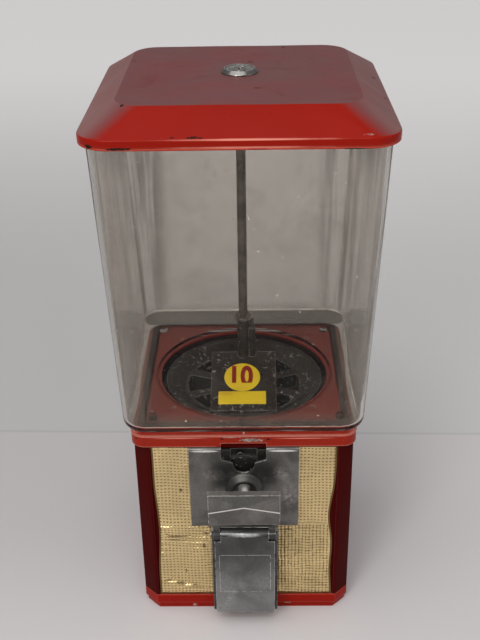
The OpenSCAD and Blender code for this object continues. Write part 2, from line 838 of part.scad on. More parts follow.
module mech_screws() {
    color(steel) for (x = [-1, 1], z = boss_z) {
        between_y(face_inner + 0.4, panel_back + past) translate([x * boss_x, z]) circle(screw_d / 2);
        between_y(panel_back, panel_back + 2) translate([x * boss_x, z]) circle(screw_d);
    }
}

module pawl_pin() {
    coil_end = ratchet_rear + 0.4 + (2 + 3 * spring_pitch) * spring_wire_r;
    color(steel) translate([pawl_x, 0, shaft_z + pawl_z]) {
        between_y(back_y + 0.2, coil_end + 0.5) circle(pawl_pin_d / 2);
        between_y(coil_end, coil_end + 1) circle(pawl_pin_d);
    }
}

module pawl_spring() {
    pitch = spring_pitch * spring_wire_r;
    coil_r = pawl_pin_d / 2 + spring_wire_r + 0.15;
    color(steel) translate([pawl_x, ratchet_rear + 0.3 + spring_wire_r, shaft_z + pawl_z])
        rotate([-90, 0, 0]) rotate_extrude() for (i = [0 : 3])
            translate([coil_r, i * pitch]) circle(spring_wire_r, $fn = 16);
}

module handle() {
    edge_front = handle_back - handle_t;
    half = handle_w / 2;
    ridge = 0.6;
    color(chrome) difference() {
        union() {
            hull() {
                box([-half, edge_front, shaft_z - handle_h / 2],
                    [half, handle_back, shaft_z + handle_h / 2]);
                for (x = [-half, 0, half - ridge]) {
                    z = shaft_z + (x == 0 ? ridge_rise : 0) - ridge / 2;
                    box([x, edge_front - ridge_h, z], [x + ridge, edge_front, z + ridge]);
                }
            }
            between_y(handle_back - past, bush_front - 0.4)
                translate([0, shaft_z]) circle(neck_d / 2);
        }
        between_y(handle_back - 2, bush_front + past)
            translate([0, shaft_z]) circle(shaft_d / 2 + snug);
    }
}

module handle_shaft() {
    color(steel) between_y(handle_back - 1.5, ratchet_rear + nut_t - 0.5)
        translate([0, shaft_z]) circle(shaft_d / 2);
}

module coin_wheel() {
    color(zinc) difference() {
        between_y(coin_wheel_y, coin_wheel_y + coin_wheel_t)
            translate([0, shaft_z]) circle(coin_wheel_r);
        between_y(coin_wheel_y - past, coin_wheel_y + coin_pocket_t) {
            translate([0, coin_centre_z]) circle(coin_pocket_r);
            translate([-coin_pocket_r, coin_centre_z]) square([2 * coin_pocket_r, coin_d]);
        }
        between_y(coin_wheel_y - past, coin_wheel_y + coin_wheel_t + past)
            translate([0, shaft_z]) circle(shaft_d / 2 + snug);
    }
}

// Gear of the train behind the coin wheel, with a tooth at a first angle from straight up
module train_gear(z, bore_r, first) {
    between_y(gear_y, gear_y + gear_t) translate([0, z]) difference() {
        gear_outline(gear_teeth, gear_pitch_r - 1.15 * gear_module, gear_pitch_r + 0.85 * gear_module,
                     1.95 * gear_module, 0.7 * gear_module, first);
        circle(bore_r + snug);
    }
}

module drive_gear() {
    color(steel) train_gear(shaft_z, shaft_d / 2, 0);
}

module output_gear() {
    color(steel) train_gear(output_z, output_d / 2, 180 / gear_teeth);
}

module ratchet_wheel() {
    step = 360 / ratchet_teeth;
    color(steel) between_y(ratchet_y, ratchet_rear) translate([0, shaft_z]) difference() {
        polygon([for (i = [0 : ratchet_teeth - 1])
            each [ratchet_root_r * [cos(i * step), sin(i * step)],
                  ratchet_r * [cos((i + 1) * step), sin((i + 1) * step)]]]);
        circle(shaft_d / 2 + snug);
    }
}

module shaft_nut() {
    color(steel) between_y(ratchet_rear, ratchet_rear + nut_t) translate([0, shaft_z])
        difference() {
            hexagon(shaft_d);
            circle(shaft_d / 2 + snug, $fn = 64);
        }
}

module pawl() {
    tip_x = ratchet_root_r + 0.5;
    reach = 0.8 * pawl_hub_r;
    color(steel) between_y(ratchet_y, ratchet_rear) translate([0, shaft_z]) difference() {
        union() {
            translate([pawl_x, pawl_z]) rotate(pawl_lift) translate([-pawl_x, -pawl_z]) polygon([
                [tip_x, 0.42], [tip_x + 3, 0.7], [pawl_x + reach, pawl_z - 1],
                [pawl_x - reach, pawl_z - 1], [tip_x + 1.45, 3.8]
            ]);
            translate([pawl_x, pawl_z]) circle(pawl_hub_r);
        }
        translate([pawl_x, pawl_z]) circle(pawl_pin_d / 2 + running_gap);
    }
}

module output_shaft() {
    color(steel) between_y(gear_y - 0.6, pinion_y + ring_face + 0.5)
        translate([0, output_z]) circle(output_d / 2);
}

module wheel_pinion() {
    color(steel) between_y(pinion_y, pinion_y + ring_face) translate([0, output_z]) difference() {
        gear_outline(pinion_teeth, pinion_pitch_r - 1.8, pinion_tip_r,
                     1.58 * ring_module, 0.58 * ring_module);
        circle(output_d / 2 + snug);
    }
}

module dispensing_wheel() {
    color(zinc) difference() {
        rotate_extrude() polygon([
            [0, wheel_z], [wheel_r, wheel_z], [wheel_r, wheel_top + wheel_rim_h],
            [wheel_r - wheel_rim_w, wheel_top + wheel_rim_h], [dish_r, wheel_top],
            [hub_d / 2, wheel_top], [hub_d / 2, wheel_top + hub_h], [0, wheel_top + hub_h]
        ]);
        difference() {
            between_z(wheel_z - past, wheel_top + past) circle(pocket_outer_r);
            between_z(wheel_z - 2 * past, wheel_top + 2 * past) {
                circle(pocket_inner_r);
                for (i = [0 : pocket_count - 1])
                    rotate(-90 + 360 * (i + 0.5) / pocket_count) translate([0, -rib_w / 2])
                        square([pocket_outer_r + past, rib_w]);
            }
        }
        between_z(wheel_z - past, wheel_top + hub_h + past) circle(rod_d / 2 + running_gap);
    }
}

module wheel_gear() {
    web = wheel_z - ring_tip_z;
    color(steel) {
        between_z(wheel_z - ring_web, wheel_z) difference() {
            circle(ring_r + ring_face / 2);
            circle(ring_r - ring_face / 2);
        }
        for (i = [0 : ring_teeth - 1])
            rotate(-90 + 360 * (i + 0.5) / ring_teeth) translate([ring_inner_r + 0.02, 0, ring_tip_z])
                rotate([90, 0, 90]) linear_extrude(ring_face - 0.06) polygon([
                    [-0.42 * ring_module, 0], [0.42 * ring_module, 0],
                    [0.77 * ring_module, web - 0.2], [-0.77 * ring_module, web - 0.2]
                ]);
    }
}

// Outline of the ball chute from the side, drawn in Y and Z and set in by a wall
module duct_side(wall, top, mouth_y) {
    back = duct_back_y - wall;
    front = duct_front_y + wall;
    low = mouth_low + wall / cos(duct_slope);
    high = mouth_high - wall / cos(neck_slope);
    polygon([
        [back, top], [back, low + (back - panel_back) * tan(duct_slope)],
        [mouth_y, low + (mouth_y - panel_back) * tan(duct_slope)],
        [mouth_y, high + (mouth_y - panel_back) * tan(neck_slope)],
        [front, high + (front - panel_back) * tan(neck_slope)], [front, top]
    ]);
}

module ball_chute() {
    color(steel) difference() {
        across_x(duct_half) duct_side(0, bowl_floor_low, panel_back);
        across_x(duct_w / 2) duct_side(chute_t, bowl_floor_low + past, panel_back - past);
    }
}

// Side outline of the chute housing, drawn in Y and Z
module chute_cheek() {
    ear_y = face_front - free_gap;
    shoulder = face_bottom - free_gap;
    polygon([
        [foil_front, chute_bottom], [foil_front, shoulder], [ear_y, shoulder], [ear_y, chute_top],
        [chute_front + 3, chute_top], [chute_front, chute_top - 3], [chute_front, chute_bottom]
    ]);
}

module chute_housing() {
    ear_y = face_front - free_gap;
    shoulder = face_bottom - free_gap;
    wall = chute_half - chute_t;
    color(chrome) difference() {
        union() {
            difference() {
                across_x(chute_half) chute_cheek();
                box([-wall, chute_front - past, chute_bottom + chute_t],
                    [wall, foil_front - chute_t, shoulder - chute_t]);
                box([-wall, chute_front - past, shoulder - chute_t - past],
                    [wall, ear_y - 0.8, chute_top - 1.2]);
            }
            for (side = [-1, 1]) {
                x0 = side > 0 ? roll_half + free_gap : -wall - 0.5;
                w = wall + 0.5 - roll_half - free_gap;
                translate([x0, hinge_y, hinge_z]) rotate([0, 90, 0]) cylinder(h = w, r = lug_r);
                box([x0, hinge_y - 3, hinge_z], [x0 + w, hinge_y + 3, chute_top - 1]);
            }
        }
        between_y(foil_front - chute_t - past, foil_front + past) {
            translate([-duct_w / 2, mouth_low + 2])
                square([duct_w, mouth_high - mouth_low - 4]);
            for (x = [-1, 1], z = chute_screw_z)
                translate([x * chute_screw_x, z]) circle(screw_d / 2 + snug);
        }
        translate([-chute_w, hinge_y, hinge_z]) rotate([0, 90, 0])
            cylinder(h = 2 * chute_w, r = pin_d / 2 + snug);
    }
}

module chute_screws() {
    color(steel) for (x = [-1, 1], z = chute_screw_z) {
        between_y(foil_front - chute_t, panel_back + past)
            translate([x * chute_screw_x, z]) circle(screw_d / 2);
        between_y(panel_back, panel_back + 1.8)
            translate([x * chute_screw_x, z]) circle(screw_d * 0.9);
    }
}

module hinge_pin() {
    color(steel) translate([0, hinge_y, hinge_z]) rotate([0, 90, 0]) {
        translate([0, 0, -chute_half - 0.6]) cylinder(h = chute_w + 1.2, r = pin_d / 2);
        for (side = [-1, 1])
            translate([0, 0, side * (chute_half + 0.5) - 0.5]) cylinder(h = 1, r = pin_d * 0.8);
    }
}

module chute_door() {
    door_half = door_w / 2;
    flange_low = chute_bottom + chute_t + 1;
    flange_high = hinge_z - roll_r;
    flange_back = hinge_y + 3;
    color(chrome) difference() {
        union() {
            box([-door_half, door_front, door_bottom + 2],
                [door_half, door_front + door_t, hinge_z - 3]);
            box([-door_half + 2, door_front, door_bottom],
                [door_half - 2, door_front + door_t, door_bottom + 3]);
            box([-roll_half, door_front, hinge_z - 4], [roll_half, door_front + door_t, hinge_z]);
            for (x = [-1, 1])
                translate([x * (door_half - 2), door_front + door_t, door_bottom + 2])
                    rotate([90, 0, 0])
                    cylinder(h = door_t, r = 2);
            translate([-roll_half, hinge_y, hinge_z]) rotate([0, 90, 0])
                cylinder(h = 2 * roll_half, r = roll_r);
            for (side = [-1, 1]) {
                x0 = side > 0 ? flange_x - door_t : -flange_x;
                box([x0, door_front + door_t / 2, flange_low], [x0 + door_t, flange_back, flange_high]);
            }
        }
        translate([-roll_half - past, hinge_y, hinge_z]) rotate([0, 90, 0])
            cylinder(h = 2 * (roll_half + past), r = pin_d / 2 + running_gap);
    }
}

module lid() {
    color(red) difference() {
        hull() {
            slice(lid_half - 0.4, lid_corner_r - 0.4, lid_low);
            slice(lid_half, lid_corner_r, lid_low + 1);
            slice(lid_half, lid_corner_r, lid_crease_z);
            slice(lid_top_half, lid_top_r, lid_top - 0.01);
        }
        hull() {
            slice(lid_half - lid_t, lid_corner_r - lid_t, lid_low - past);
            slice(lid_half - lid_t, lid_corner_r - lid_t, lid_crease_z - lid_t / 2);
            slice(lid_top_half - lid_t * 0.7, lid_top_r - lid_t * 0.7, lid_top - lid_t - 0.01);
        }
        translate([0, 0, lid_top - 5]) cylinder(h = 6, r = lock_barrel_d / 2 + 0.1);
    }
}

module lock_ring() {
    bore = lock_barrel_d / 2 + snug;
    outer = lock_ring_d / 2;
    color(chrome) translate([0, 0, lid_top]) rotate_extrude() polygon([
        [bore, 0], [outer, 0], [outer, 0.8], [outer - 2, lock_ring_h], [bore + 0.6, lock_ring_h - 0.9],
        [bore, lock_ring_h - 0.9]
    ]);
}

module lock_barrel() {
    color(chrome) difference() {
        between_z(lock_low, lid_top + lock_ring_h - 1) circle(lock_barrel_d / 2);
        between_z(lock_low - past, lock_step_z) circle(rod_d / 2 + running_gap);
        between_z(lock_step_z + 0.5, plug_top + past) circle(lock_plug_d / 2 + running_gap);
    }
}

module lock_nut() {
    top = lid_top - lid_t - 0.05;
    color(steel) between_z(top - 4, top) difference() {
        hexagon(lock_barrel_d * 0.75);
        circle(lock_barrel_d / 2 + snug, $fn = 64);
    }
}

module lock_cylinder() {
    color(steel) difference() {
        between_z(lock_step_z + 0.8, plug_top) circle(lock_plug_d / 2);
        between_z(plug_top - 5, plug_top + past) translate([-0.7, -lock_plug_d * 0.35])
            square([1.4, lock_plug_d * 0.7]);
    }
}

base_plate();
body_shell();
front_panel();
front_foil();
hopper_pan();
wheel_bowl();
bowl_screws();
globe();
centre_rod();
foot_nut();
foot_washer();
push_nut();
brush_housing();
clamp_pin();
brush_strips();
price_label();
plain_label();
mech_faceplate();
shaft_bush();
coin_guide();
mech_posts();
mech_back_plate();
mech_screws();
pawl_pin();
pawl_spring();
ball_chute();
chute_housing();
chute_screws();
hinge_pin();
handle();
handle_shaft();
coin_wheel();
drive_gear();
ratchet_wheel();
shaft_nut();
output_shaft();
output_gear();
wheel_pinion();
dispensing_wheel();
wheel_gear();
pawl();
chute_door();
lid();
lock_ring();
lock_barrel();
lock_nut();
lock_cylinder();
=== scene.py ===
"""Dresses the gumball machine's CAD frame: painted steel, clear globe, embossed foil, castings with wear."""

import json
import math

import bmesh
import bpy
import numpy as np
from bpy.props import FloatProperty, FloatVectorProperty, IntProperty, PointerProperty, StringProperty
from mathutils import Matrix, Vector, noise


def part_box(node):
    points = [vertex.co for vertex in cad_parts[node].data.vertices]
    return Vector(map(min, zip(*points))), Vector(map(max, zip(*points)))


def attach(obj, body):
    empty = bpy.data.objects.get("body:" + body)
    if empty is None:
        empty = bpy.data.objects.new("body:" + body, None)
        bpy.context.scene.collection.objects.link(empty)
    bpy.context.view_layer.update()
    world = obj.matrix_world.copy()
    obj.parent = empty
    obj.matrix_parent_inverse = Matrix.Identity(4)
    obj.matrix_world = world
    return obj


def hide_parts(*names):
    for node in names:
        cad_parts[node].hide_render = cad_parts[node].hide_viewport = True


bl_info = {
    "name": "Gumball Machine",
    "version": (1, 0, 0),
    "blender": (4, 5, 0),
    "location": "View3D > Sidebar > Gumball Machine",
    "description": "Builds the visible surfaces of a gumball machine around its mechanical frame",
    "category": "Add Mesh",
}

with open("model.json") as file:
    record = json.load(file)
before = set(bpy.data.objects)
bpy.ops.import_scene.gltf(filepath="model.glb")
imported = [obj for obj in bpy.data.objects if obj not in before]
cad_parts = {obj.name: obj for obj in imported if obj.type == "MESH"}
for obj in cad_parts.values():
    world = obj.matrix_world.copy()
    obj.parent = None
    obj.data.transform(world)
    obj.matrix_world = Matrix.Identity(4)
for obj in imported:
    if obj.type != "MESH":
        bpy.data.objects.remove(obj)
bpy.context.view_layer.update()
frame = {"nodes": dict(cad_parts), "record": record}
NODES = frame["nodes"]
BODY_OF = {n: b for b, group in frame["record"]["behaviour"]["bodies"].items() for n in group}
MM = 0.001
CORNER_POINTS = 10
SIDE_POINTS = 9
BLACK = (0, 0, 0)
BARE_STEEL = (0.62, 0.5, 0.42)
HIGHLIGHT_RED = (0.90, 0.32, 0.24)
# pale red of the painted highlights along the enamel's folds
NICK_BROWN = (0.018, 0.012, 0.008)
# black of the painted shade inside the pan's round opening
OPENING_SHADE = (0.012, 0.009, 0.008)
# pale of the crumbs, and of the painted highlight lines inside the globe
PALE_CRUMB_AND_HIGHLIGHT = (1.0, 0.97, 0.93)
RED_GLOSS, RED_SHINE = 0.26, 0.08


def node_box(node):
    """Lowest and highest corner of a CAD node, in millimetres."""
    low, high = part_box(node)
    return Vector(low) / MM, Vector(high) / MM


LID_LOW, LID_HIGH = node_box("lid")
GLOBE_LOW, GLOBE_HIGH = node_box("globe")
PAN_HIGH = node_box("hopper_pan")[1]
FOIL_LOW, FOIL_HIGH = node_box("front_foil")
PLATE_LOW, PLATE_HIGH = node_box("mech_faceplate")
DOOR_LOW = node_box("chute_door")[0]
BRUSH_LOW, BRUSH_HIGH = node_box("brush_strips")
LABEL_LOW, LABEL_HIGH = node_box("price_label")


def colour(name, text, default):
    """A colour that a user may change."""
    return FloatVectorProperty(
        name=name, description=text, subtype="COLOR", size=3, min=0, max=1, default=default
    )


def length(name, text, default):
    """A length in metres that a user may change."""
    return FloatProperty(name=name, description=text, unit="LENGTH", min=0, default=default, precision=5)


class MachineSizes(bpy.types.PropertyGroup):
    """Sizes of the finish that are not in the frame."""

    edge: length("Edge rounding", "Rounding of cast and folded edges", 0.45 * MM)
    lid_round: length("Lid crease rounding", "Radius along the lid's lower fold", 2.0 * MM)
    foil_pitch: length("Foil pitch", "Distance between the foil's embossed marks", 2.6 * MM)
    foil_relief: length("Foil relief", "Height of the foil's embossed marks", 0.45 * MM)
    foil_crumple: length("Foil crumple", "Depth of the foil's creases", 0.9 * MM)
    bristle: length("Bristle thickness", "Thickness of one bristle", 0.28 * MM)
    bristle_count: IntProperty(name="Bristles", description="Bristles in a row", min=2, default=60)
    price: StringProperty(name="Price", description="Plain number on the round label", default="10")


class MachineColours(bpy.types.PropertyGroup):
    """Colours of the machine and the stage."""

    red: colour("Red enamel", "Paint of the lid, pan and base", (0.31, 0.009, 0.003))
    # painted sheen: the lid's dull mauve tone stands in for the reflection on its upper faces
    sheen_and_dust: colour("Sheen and dust", "Dull film on the lid", (0.178, 0.074, 0.074))
    # painted sheen: the same stand-in for the reflection, on the pan's upper faces
    pan_sheen: colour("Pan film", "Dull film on the hopper pan", (0.36, 0.105, 0.09))
    pan_red: colour("Pan red", "Enamel of the hopper pan", (0.33, 0.020, 0.008))
    maroon: colour("Maroon enamel", "Paint of the cabinet", (0.062, 0.0022, 0.0015))
    gold: colour("Gold foil", "Metal of the embossed foil", (0.87, 0.67, 0.345))
    chrome: colour("Chrome", "Aged plating of the front castings", (0.175, 0.17, 0.16))
    door: colour("Door casting", "Bluish casting of the door", (0.36, 0.365, 0.36))
    steel: colour("Steel", "Plated steel of the rod, gears and screws", (0.22, 0.205, 0.19))
    zinc: colour("Zinc", "Dark casting of the wheel and brush housing", (0.052, 0.049, 0.042))
    acrylic: colour("Acrylic", "Tint of the clear globe", (0.785, 0.75, 0.71))
    haze: colour("Haze", "Grime inside the globe", (0.26, 0.225, 0.195))
    label: colour("Label", "Yellow of the labels", (0.88, 0.66, 0.014))
    ink: colour("Ink", "Red of the price", (0.26, 0.006, 0.002))
    floor: colour("Floor", "Floor that the machine stands on", (0.69, 0.66, 0.665))
    wall: colour("Backdrop", "Floor colour behind the machine", (0.66, 0.652, 0.648))


# ---------------------------------------------------------------- nodes


class Tree:
    """A node tree being built, with short calls to add and join its nodes."""

    def __init__(self, tree):
        self.tree = tree

    def add(self, kind, inputs=None, **settings):
        node = self.tree.nodes.new(kind)
        for key, value in settings.items():
            setattr(node, key, value)
        for key, value in (inputs or {}).items():
            if isinstance(value, bpy.types.NodeSocket):
                self.tree.links.new(value, node.inputs[key])
            else:
                node.inputs[key].default_value = value
        return node

    def math(self, operation, *values, clamp=False):
        kind = "ShaderNodeMath"
        return self.add(kind, dict(enumerate(values)), operation=operation, use_clamp=clamp).outputs[0]

    def chain(self, operation, values):
        """One operation over any count of values, from left to right."""
        result = values[0]
        for value in values[1:]:
            result = self.math(operation, result, value)
        return result

    def times(self, *values):
        return self.chain("MULTIPLY", values)

    def plus(self, *values):
        return self.chain("ADD", values)

    def most(self, *values):
        return self.chain("MAXIMUM", values)

    def least(self, a, b):
        return self.math("MINIMUM", a, b)

    def less(self, value, taken):
        return self.math("SUBTRACT", value, taken)

    def size(self, value):
        return self.math("ABSOLUTE", value)

    def step(self, value, low, high, to_low=0.0, to_high=1.0):
        """Rises smoothly from to_low to to_high while value goes from low to high."""
        inputs = {"Value": value, "From Min": low, "From Max": high, "To Min": to_low, "To Max": to_high}
        return self.add("ShaderNodeMapRange", inputs, interpolation_type="SMOOTHSTEP").outputs[0]

    def mix(self, factor, a, b):
        node = self.add("ShaderNodeMix", {0: factor, 6: a, 7: b}, data_type="RGBA")
        return node.outputs[2]

    def lay(self, tone, over, mask, share):
        """Lays another colour over a tone, as far as its mask and share say."""
        return self.mix(self.times(mask, share), tone, over)

    def split(self, vector):
        return self.add("ShaderNodeSeparateXYZ", {0: vector}).outputs

    def length(self, vector):
        return self.add("ShaderNodeVectorMath", {0: vector}, operation="LENGTH").outputs["Value"]

    def normal(self):
        return self.add("ShaderNodeNewGeometry").outputs["Normal"]

    def place(self):
        """Place on the piece in metres, one socket for the whole tree."""
        for node in self.tree.nodes:
            if node.bl_idname == "ShaderNodeTexCoord":
                return node.outputs["Object"]
        return self.add("ShaderNodeTexCoord").outputs["Object"]

    def noise(self, scale, detail=3.0, stretch=None, distortion=0.0, rough=0.55):
        vector = self.place()
        if stretch:
            vector = self.add("ShaderNodeMapping", {"Vector": vector, "Scale": stretch}).outputs[0]
        inputs = {"Vector": vector, "Scale": scale, "Detail": detail, "Distortion": distortion}
        return self.add("ShaderNodeTexNoise", {**inputs, "Roughness": rough}).outputs[0]

    def cloud(self, scale, low, high, to_low=0.0, to_high=1.0, **how):
        """Noise whose values from low to high are spread from to_low to to_high."""
        return self.step(self.noise(scale, **how), low, high, to_low, to_high)

    def group(self, tree, **inputs):
        node = self.add("ShaderNodeGroup", node_tree=tree)
        for key, value in inputs.items():
            socket = node.inputs[key.replace("_", " ").capitalize()]
            if isinstance(value, bpy.types.NodeSocket):
                self.tree.links.new(value, socket)
            else:
                socket.default_value = value
        return node.outputs[0]


def rgb(value, scale=1.0):
    return (*[c * scale for c in value], 1.0)


def shifted(value, *scales):
    """A colour with a scale for each channel, none of them above full."""
    return rgb([min(1.0, c * scale) for c, scale in zip(value, scales)])


def new_group(name, inputs):
    """Shader node group with float inputs and one output named Mask."""
    tree = bpy.data.node_groups.get(name)
    if tree:
        return tree, None, None
    tree = bpy.data.node_groups.new(name, "ShaderNodeTree")
    for label, default in inputs:
        socket = tree.interface.new_socket(label, in_out="INPUT", socket_type="NodeSocketFloat")
        socket.default_value = default
    tree.interface.new_socket("Mask", in_out="OUTPUT", socket_type="NodeSocketFloat")
    made = Tree(tree)
    return tree, made, made.add("NodeGroupInput").outputs


def edge_patches():
    """Patches along outer and inner edges, broken up by noise: wear of paint and metal, and painted
    highlights.
    """
    tree, t, given = new_group("Edge patches", [("Reach", 0.001), ("Coverage", 0.5), ("Scale", 300.0)])
    if t:
        round_normal = t.add("ShaderNodeBevel", {"Radius": given[0]}, samples=4).outputs[0]
        flat_normal = t.normal()
        normals = {0: round_normal, 1: flat_normal}
        turned = t.add("ShaderNodeVectorMath", normals, operation="DOT_PRODUCT")
        edge = t.step(t.less(1.0, turned.outputs["Value"]), 0.01, 0.12)
        patch = t.noise(given[2], detail=5.0, rough=0.5)
        limit = t.less(0.78, t.times(given[1], 0.5))
        kept = t.step(patch, limit, t.plus(limit, 0.05))
        t.add("NodeGroupOutput", {0: t.times(edge, kept)})
    return tree


def sheen_and_dust():
    """Faces that look up or to the sides, in uneven drifts: painted sheen on the enamel, lying dust on the
    castings.
    """
    tree, t, given = new_group("Sheen and dust", [("Amount", 0.5), ("Scale", 60.0), ("From", 0.72), ("To", 0.97)])
    if t:
        normal = t.split(t.normal())
        sides = t.times(t.size(normal[0]), 0.35)
        lean = t.plus(normal[2], sides, t.times(normal[1], 0.25))
        drift = t.noise(given[1], detail=6.0, rough=0.5)
        even = t.plus(0.84, t.times(t.step(drift, 0.3, 0.62), 0.16))
        t.add("NodeGroupOutput", {0: t.times(t.step(lean, given[2], given[3]), even, given[0])})
    return tree


def marks(t, spots, scale=700.0, ragged=1.5, inner=0.82):
    """Ragged marks. Each spot is its place and its half sizes, in millimetres."""
    nearest = None
    for spot in spots:
        place, reach = [v * MM for v in spot[:3]], [v * MM for v in spot[3:]]
        inputs = {"Vector": t.place(), "Location": place, "Scale": reach}
        local = t.add("ShaderNodeMapping", inputs, vector_type="TEXTURE").outputs[0]
        away = t.length(local)
        nearest = away if nearest is None else t.least(nearest, away)
    uneven = t.times(t.less(t.noise(scale, detail=4.0), 0.5), ragged)
    return t.step(t.plus(nearest, uneven), 1.0, inner)


def stains():
    """Cloudy tarnish with small spots."""
    tree, t, given = new_group("Stains", [("Scale", 40.0), ("Spots", 0.3)])
    if t:
        cloud = t.noise(given[0], detail=7.0, distortion=0.6, rough=0.5)
        speck_scale = t.times(given[0], 9.0)
        specks = t.noise(speck_scale, detail=2.0, rough=0.5)
        spot = t.times(t.step(specks, 0.62, 0.7), given[1])
        t.add("NodeGroupOutput", {0: t.math("ADD", t.step(cloud, 0.35, 0.7), spot, clamp=True)})
    return tree


def new_material(name, fixed):
    """Material with a Principled shader. The fixed values are set on its own sockets."""
    material = bpy.data.materials.new(name)
    material.use_nodes = True
    material.node_tree.nodes.clear()
    t = Tree(material.node_tree)
    shader = t.add("ShaderNodeBsdfPrincipled", fixed)
    t.add("ShaderNodeOutputMaterial", {"Surface": shader.outputs[0]})
    return material, t, shader


def join(t, shader, **links):
    for key, socket in links.items():
        t.tree.links.new(socket, shader.inputs[key.replace("_", " ")])


def bump(t, height, strength, distance):
    inputs = {"Height": height, "Strength": strength, "Distance": distance}
    return t.add("ShaderNodeBump", inputs).outputs[0]


MADE = {}


def colours():
    return bpy.context.scene.machine_colours


def finish_of(name, maker, *values, **places):
    """Makes a material the first time it is asked for."""
    if name not in MADE:
        MADE[name] = maker(name, *values, **places)
    return MADE[name]


def enamel(
    name,
    paint,
    sheen_tone,
    under,
    chips,
    sheen_amount,
    gloss,
    shine,
    dark=(),
    bare=(),
    gleam=(),
    pit=None,
    raw=BARE_STEEL,
):
    """Glossy paint with orange peel, specks, chips down to what is under it, and a painted sheen: a dull
    tone on faces that look up or to the sides, which stands in for their reflection.

    Dark and bare are nicks and scrapes; the highlight spots are painted highlights along a fold.
    The shaded opening is the radius of a round opening and the height below which its wall is painted black
    as shade, in metres.
    """
    coat = {"Coat Weight": shine * 0.4, "Coat Roughness": 0.12, "Specular IOR Level": shine}
    material, t, shader = new_material(name, coat)
    tone = t.mix(t.noise(14.0), rgb(paint, 0.9), rgb(paint, 1.08))
    # painted sheen: faces that look up or to the sides take a dull tone that stands in for their reflection,
    # with smudges, lighter on faces that look to the sides
    sheen = t.group(sheen_and_dust(), amount=sheen_amount, scale=22.0)
    smudge = t.cloud(38.0, 0.56, 0.72, detail=6.0, distortion=0.8, rough=0.65)
    sheen_colour = t.mix(t.times(smudge, 0.55), rgb(sheen_tone), shifted(sheen_tone, 0.85, 0.5, 0.5))
    side_sheen = t.step(t.size(t.split(t.normal())[0]), 0.2, 0.5)
    sheen_colour = t.lay(sheen_colour, shifted(sheen_tone, 1.55, 1.9, 1.8), side_sheen, 0.7)
    tone = t.mix(sheen, tone, sheen_colour)
    speck = t.cloud(430.0, 0.71, 0.75, detail=2.0)
    tone = t.lay(tone, rgb(paint, 0.3), speck, 0.5)
    chip = t.group(edge_patches(), reach=1.0 * MM, coverage=chips, scale=210.0)
    rim = t.group(edge_patches(), reach=1.5 * MM, coverage=chips + 0.12, scale=190.0)
    tone = t.lay(tone, rgb(paint, 0.3), rim, 0.7)
    tone = t.mix(chip, tone, t.mix(t.noise(700.0), rgb(under, 0.5), rgb(under, 1.3)))
    # painted highlight: the paint is lighter along edges and folds, where the lip and creases catch the
    # light
    edge_highlight = t.group(edge_patches(), reach=1.4 * MM, coverage=0.95, scale=50.0)
    tone = t.lay(tone, shifted(paint, 2.2, 14.0, 26.0), edge_highlight, 0.75)
    # painted highlights: pale lines along the lid's lower fold and lip, and along the pan's skirt
    if gleam:
        lightened = marks(t, gleam, scale=60.0, ragged=0.5, inner=0.2)
        tone = t.lay(tone, rgb(HIGHLIGHT_RED), lightened, 0.8)
    if dark:
        nick = marks(t, dark)
        tone = t.mix(nick, tone, rgb(NICK_BROWN))
        chip = t.most(chip, nick)
    if bare:
        scrape = marks(t, bare)
        patchy = t.cloud(420.0, 0.35, 0.6, detail=4.0)
        tone = t.mix(scrape, tone, t.mix(patchy, rgb(raw), rgb(raw, 0.45)))
        chip = t.most(chip, scrape)
    # painted shade: the wall of the round opening is black below a height, and the paint round its mouth is
    # darker
    if pit:
        mouth, below = pit
        where = t.split(t.place())
        out = t.length(t.add("ShaderNodeCombineXYZ", {0: where[0], 1: where[1]}).outputs[0])
        deep = t.times(t.step(out, mouth + 0.001, mouth), t.step(where[2], below, below - 0.0014))
        ring = t.step(out, mouth + 0.0036, mouth + 0.0018, 0.0, 0.6)
        tone = t.mix(ring, tone, rgb(paint, 0.3))
        tone = t.mix(deep, tone, rgb(OPENING_SHADE))
    rough = t.plus(t.cloud(30.0, 0.3, 0.7, gloss, gloss + 0.12), t.times(chip, 0.4))
    rough = t.plus(rough, t.times(sheen, 0.14))
    height = t.less(t.times(t.noise(900.0, detail=1.0), 0.1), chip)
    join(t, shader, Base_Color=tone, Roughness=rough, Normal=bump(t, height, 0.3, 0.12 * MM))
    return material


